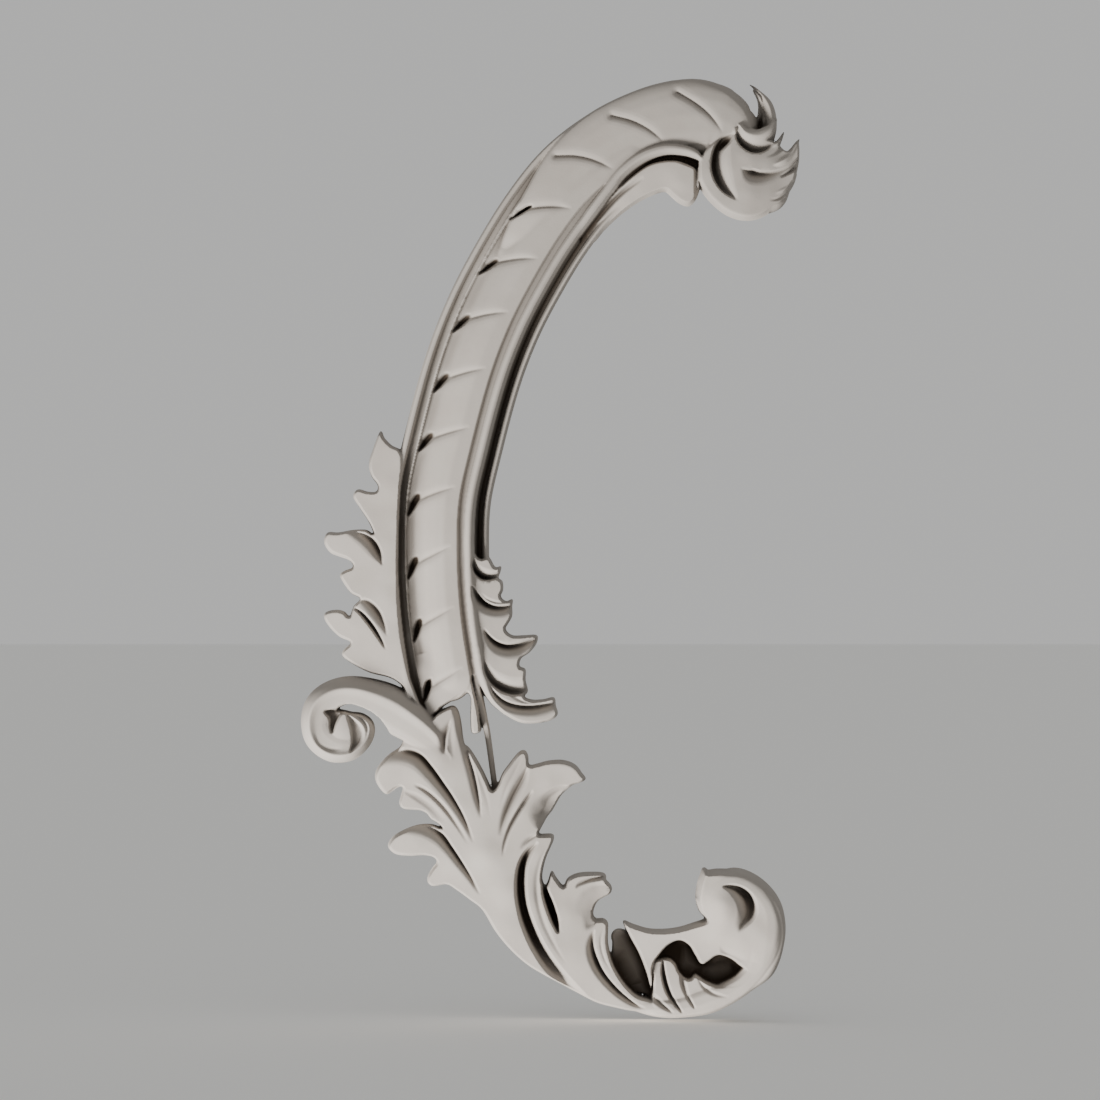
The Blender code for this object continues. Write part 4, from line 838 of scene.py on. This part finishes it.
def even_normals(mesh):
    """Sets a normal for each corner of each face.

    On the flat back it points straight back. A steep side wall gets the mean of its neighbours' normals, taken
    several times over, so that it shades evenly. Everywhere else it is the mean of the faces round the point.
    """
    corner, total = np.empty(len(mesh.loops), np.int32), np.empty(len(mesh.polygons), np.int32)
    facing, area = np.empty(3 * len(total), np.float32), np.empty(len(total), np.float32)
    middle, edges = np.empty(3 * len(total), np.float32), np.empty(2 * len(mesh.edges), np.int32)
    mesh.loops.foreach_get("vertex_index", corner)
    mesh.edges.foreach_get("vertices", edges)
    for name, values in (("loop_total", total), ("normal", facing), ("area", area), ("center", middle)):
        mesh.polygons.foreach_get(name, values)
    facing, middle, edges = facing.reshape(-1, 3), middle.reshape(-1, 3), edges.reshape(-1, 2)
    back = np.repeat((facing[:, 1] > BACK_FACING) & (middle[:, 1] > -BACK_SLACK), total)
    size, count = np.repeat(area, total)[:, None] * ~back[:, None], len(mesh.vertices)

    def gathered(where, vectors):
        sums = np.stack([np.bincount(where, axis, count) for axis in vectors.T], axis=1)
        return sums / np.maximum(np.linalg.norm(sums, axis=1), 1e-12)[:, None]

    normal = gathered(corner, np.repeat(facing, total, axis=0) * size)
    wall = np.abs(normal[:, 1]) < WALL_LEAN
    steep = edges[wall[edges].all(axis=1)]
    for _ in range(EASING_ROUNDS):
        own = np.flatnonzero(wall)
        eased = gathered(np.concatenate([own, steep[:, 0], steep[:, 1]]),
                         np.concatenate([normal[own], normal[steep[:, 1]], normal[steep[:, 0]]]))
        normal[wall] = eased[wall]
    mesh.normals_split_custom_set(np.where(back[:, None], (0, 1, 0), normal[corner]))


def painted_shade_depth(relief):
    """How deep in the hollows each point of the grid lies, from nought to one, which sets how much painted shade
    darkens it.

    At each of three scales it is how far the point lies under the mean height around it, over a full depth. The
    three are added by their shares, and the sum fades out towards the onlay's edge.
    """
    solid = np.maximum(relief.height, 0)
    depth = sum(np.clip((blurred(solid, reach) - relief.height) / full, 0, 1) * share
                for reach, full, share in PAINTED_SHADE_SCALES)
    near = blurred((solid > 0).astype(np.float32), EDGE_REACH)
    return np.clip(depth, 0, 1) * np.clip(EDGE_FADE * near - (EDGE_FADE - 1), 0, 1)


def sampled(image, relief, points):
    """A grid's values at points of the onlay, straight between the four grid points round each."""
    across = points[:, 0] * 1000 / relief.square_mm + ORIGIN_SQUARE[0]
    down = ORIGIN_SQUARE[1] - points[:, 2] * 1000 / relief.square_mm
    step = relief.across[1] - relief.across[0]
    column = np.clip((across - relief.across[0]) / step, 0, image.shape[1] - 1.001)
    row = np.clip((down - relief.down[0]) / step, 0, image.shape[0] - 1.001)
    c, r = column.astype(int), row.astype(int)
    u, v = column - c, row - r
    return ((image[r, c] * (1 - u) + image[r, c + 1] * u) * (1 - v)
            + (image[r + 1, c] * (1 - u) + image[r + 1, c + 1] * u) * v)


def linear(colour):
    """An sRGB hex value as a linear colour with an alpha of one."""
    values = [int(colour[i:i + 2], 16) / 255 for i in (1, 3, 5)]
    return (*((v / 12.92 if v < 0.04045 else ((v + 0.055) / 1.055) ** 2.4) for v in values), 1)


def node(tree, kind, links=(), **settings):
    """Adds one shader node. A setting that starts with in_ is an input's value, a link is (input, output)."""
    made = tree.nodes.new(kind)
    for name, value in settings.items():
        if name.startswith("in_"):
            made.inputs[int(name[3:]) if name[3:].isdigit() else name[3:].replace("_", " ")].default_value = value
        else:
            setattr(made, name, value)
    for socket, source in links:
        tree.links.new(source, made.inputs[socket])
    return made


def cast_plaster(finish):
    """Gypsum plaster, poured and left bare.

    It is chalky and matt, with hardly any gloss. Its hollows are painted warmer and darker than its crests, a
    painted shade that stands in for the shade they hold, and its skin has faint clouds, a fine grain and shallow
    ripples from the mould.
    """
    material = bpy.data.materials.new("cast_gypsum_plaster")
    material.use_nodes = True
    tree = material.node_tree
    shader = tree.nodes["Principled BSDF"]
    place = node(tree, "ShaderNodeTexCoord").outputs["Object"]
    # The painted shade's depth at each point, read from the mesh's attribute.
    painted_shade = node(tree, "ShaderNodeAttribute", attribute_name="painted_shade").outputs["Fac"]
    clouds, grain, ripples = (node(tree, "ShaderNodeTexNoise", [("Vector", place)], in_Scale=1 / across, **settings)
                              for across, settings in NOISES)
    tint = node(tree, "ShaderNodeValToRGB", [("Fac", clouds.outputs["Fac"])])
    tint.color_ramp.elements[0].position = 0.3
    tint.color_ramp.elements[0].color = (*finish.cloud, 1)
    tint.color_ramp.elements[1].position = 0.7
    tint.color_ramp.elements[1].color = (*finish.crest, 1)
    # A colour Mix node's inputs are its factor, 0, and its two colours, 6 and 7, and its colour output is 2.
    # Painted shade: the plaster's colour is mixed towards the shade colour by that depth.
    shade = node(tree, "ShaderNodeMix", [(0, painted_shade), (6, tint.outputs["Color"])], data_type="RGBA",
                 in_7=(*finish.painted_shade, 1))
    tree.links.new(shade.outputs[2], shader.inputs["Base Color"])
    shader.inputs["Roughness"].default_value = finish.roughness
    shader.inputs["Specular IOR Level"].default_value = 0.2
    mixed = node(tree, "ShaderNodeMath", [(0, ripples.outputs["Fac"])], operation="MULTIPLY_ADD", in_1=4.0)
    tree.links.new(grain.outputs["Fac"], mixed.inputs[2])
    bump = node(tree, "ShaderNodeBump", [("Height", mixed.outputs[0])], in_Strength=0.25, in_Distance=0.00012)
    tree.links.new(bump.outputs["Normal"], shader.inputs["Normal"])
    return material


class OnlaySizes(bpy.types.PropertyGroup):
    height: FloatProperty(name="Height", description="Height of the onlay", default=0.463, unit="LENGTH")
    relief: FloatProperty(name="Relief", description="How far the highest crest stands off the panel",
                          default=-CAD_LOW[1], unit="LENGTH")
    mesh_step: FloatProperty(name="Mesh step", description="Distance between points of the carving's grid",
                             default=0.0004, unit="LENGTH")
    kept: FloatProperty(name="Kept faces", description="Most triangles that the finished casting keeps",
                        default=190000)


class OnlayFinish(bpy.types.PropertyGroup):
    crest: FloatVectorProperty(name="Crest", description="Colour of the plaster on the crests, clear of painted shade",
                               default=linear("#A09A93")[:3], subtype="COLOR")
    cloud: FloatVectorProperty(name="Cloud", description="Colour of the plaster's faint clouds",
                               default=linear("#99928B")[:3], subtype="COLOR")
    # The colour to which the painted shade in the hollows darkens the plaster.
    painted_shade: FloatVectorProperty(name="Hollow", description="Colour of the painted shade deep in the hollows",
                                default=linear("#352C23")[:3], subtype="COLOR")
    roughness: FloatProperty(name="Roughness", description="Roughness of the bare plaster", default=0.9,
                             subtype="FACTOR")


class OnlayStage(bpy.types.PropertyGroup):
    floor: FloatVectorProperty(name="Floor", description="Colour of the floor", default=linear("#F2F2F0")[:3],
                               subtype="COLOR")
    key: FloatProperty(name="Key light", description="Power of the light from below on the left", default=54,
                       unit="POWER")
    room: FloatProperty(name="Room light", description="Strength of the light from all round", default=0.8)


class ONLAY_OT_casting(bpy.types.Operator):
    """Carves the onlay, closes it with a flat back and finishes it as cast plaster"""
    bl_idname = "onlay.casting"
    bl_label = "Cast the onlay"

    def execute(self, context):
        sizes = context.scene.onlay_sizes
        square_mm = sizes.height / SQUARES_HIGH * 1000
        relief = Relief(PAPER, square_mm / sizes.mesh_step / 1000, square_mm, sizes.relief * 1000)
        carve_all(relief)
        points, faces = closed_surface(relief)
        mesh = bpy.data.meshes.new("onlay_casting")
        mesh.from_pydata(points, [], faces)
        piece = bpy.data.objects.new("onlay_casting", mesh)
        context.scene.collection.objects.link(piece)
        thinning = piece.modifiers.new("Thinning", "DECIMATE")
        thinning.ratio = sizes.kept / (2 * len(faces))
        piece.data = bpy.data.meshes.new_from_object(piece.evaluated_get(context.evaluated_depsgraph_get()))
        piece.modifiers.clear()
        bpy.data.meshes.remove(mesh)
        mesh = piece.data
        mesh.name = "onlay_casting"
        mesh.shade_smooth()
        even_normals(mesh)
        where = np.empty(3 * len(mesh.vertices), np.float32)
        mesh.vertices.foreach_get("co", where)
        where = where.reshape(-1, 3)
        # Painted shade at each point, by how deep it lies among the hollows; none on the back.
        painted_shade = sampled(painted_shade_depth(relief), relief, where) * (where[:, 1] < -BACK_CLEAR)
        mesh.attributes.new("painted_shade", "FLOAT", "POINT").data.foreach_set("value", painted_shade.astype(np.float32))
        mesh.materials.append(cast_plaster(context.scene.onlay_finish))
        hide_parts(NODE)
        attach(piece, "root")
        return {"FINISHED"}


def soft_light(name, place, target, size, power, colour):
    """Adds a square area light that faces its target."""
    data = bpy.data.lights.new(name, "AREA")
    data.size, data.energy, data.color = size, power, colour
    light = bpy.data.objects.new(name, data)
    light.location = place
    light.rotation_euler = (Vector(target) - Vector(place)).to_track_quat("-Z", "Y").to_euler()
    bpy.context.scene.collection.objects.link(light)


class ONLAY_OT_stage(bpy.types.Operator):
    """Sets up the pale floor, the soft light, the room's light and the camera, which looks straight at the front"""
    bl_idname = "onlay.stage"
    bl_label = "Set up the stage"

    def execute(self, context):
        scene, look = context.scene, context.scene.onlay_stage
        square = scene.onlay_sizes.height / SQUARES_HIGH
        middle = Vector(((FRAME_MIDDLE[0] - ORIGIN_SQUARE[0]) * square, CAD_LOW[1] / 2,
                         (ORIGIN_SQUARE[1] - FRAME_MIDDLE[1]) * square))
        row = FLOOR_CELLS + 1
        side = np.linspace(-FLOOR_REACH, FLOOR_REACH, row)
        grid = np.stack(np.meshgrid(side, side), axis=-1).reshape(-1, 2)
        points = np.column_stack([grid, np.full(len(grid), CAD_LOW[2] - FLOOR_GAP)])
        first = (np.arange(FLOOR_CELLS)[:, None] * row + np.arange(FLOOR_CELLS)).ravel()
        mesh = bpy.data.meshes.new("floor")
        mesh.from_pydata(points, [], np.stack([first, first + 1, first + row + 1, first + row], axis=1))
        floor = bpy.data.objects.new("floor", mesh)
        scene.collection.objects.link(floor)
        floor.visible_shadow = False
        paint = bpy.data.materials.new("pale_studio_floor")
        paint.use_nodes = True
        paint.node_tree.nodes["Principled BSDF"].inputs["Base Color"].default_value = (*look.floor, 1)
        paint.node_tree.nodes["Principled BSDF"].inputs["Roughness"].default_value = 0.9
        mesh.materials.append(paint)
        soft_light("key", middle + Vector(KEY_PLACE), middle, KEY_SIZE, look.key, KEY_COLOUR)
        room = bpy.data.worlds.new("room")
        room.use_nodes = True
        room.node_tree.nodes["Background"].inputs["Color"].default_value = linear(ROOM_COLOUR)
        room.node_tree.nodes["Background"].inputs["Strength"].default_value = look.room
        scene.world = room
        lens = bpy.data.cameras.new("camera")
        lens.lens, lens.sensor_width = LENS_MM, SENSOR_MM
        camera = bpy.data.objects.new("camera", lens)
        frame_side = FRAME_SQUARES * square
        camera.location = middle + Vector((0, -frame_side * lens.lens / lens.sensor_width, 0))
        camera.rotation_euler = (radians(90), 0, 0)
        scene.collection.objects.link(camera)
        scene.camera = camera
        return {"FINISHED"}


class ONLAY_PT_panel(bpy.types.Panel):
    """Lists the onlay's sizes and the steps that build it"""
    bl_label = "Scroll onlay"
    bl_idname = "ONLAY_PT_panel"
    bl_space_type = "VIEW_3D"
    bl_region_type = "UI"
    bl_category = "Onlay"

    def draw(self, context):
        column = self.layout.column()
        for group in (context.scene.onlay_sizes, context.scene.onlay_finish, context.scene.onlay_stage):
            for name in group.__annotations__:
                column.prop(group, name)
        column.operator(ONLAY_OT_casting.bl_idname)
        column.operator(ONLAY_OT_stage.bl_idname)


GROUPS = {"onlay_sizes": OnlaySizes, "onlay_finish": OnlayFinish, "onlay_stage": OnlayStage}
CLASSES = (*GROUPS.values(), ONLAY_OT_casting, ONLAY_OT_stage, ONLAY_PT_panel)


def register():
    for made in CLASSES:
        bpy.utils.register_class(made)
    for name, group in GROUPS.items():
        setattr(bpy.types.Scene, name, PointerProperty(type=group))


def unregister():
    for name in GROUPS:
        delattr(bpy.types.Scene, name)
    for made in reversed(CLASSES):
        bpy.utils.unregister_class(made)


def main():
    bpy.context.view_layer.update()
    register()
    bpy.ops.onlay.casting()
    bpy.ops.onlay.stage()


if __name__ == "__main__":
    main()
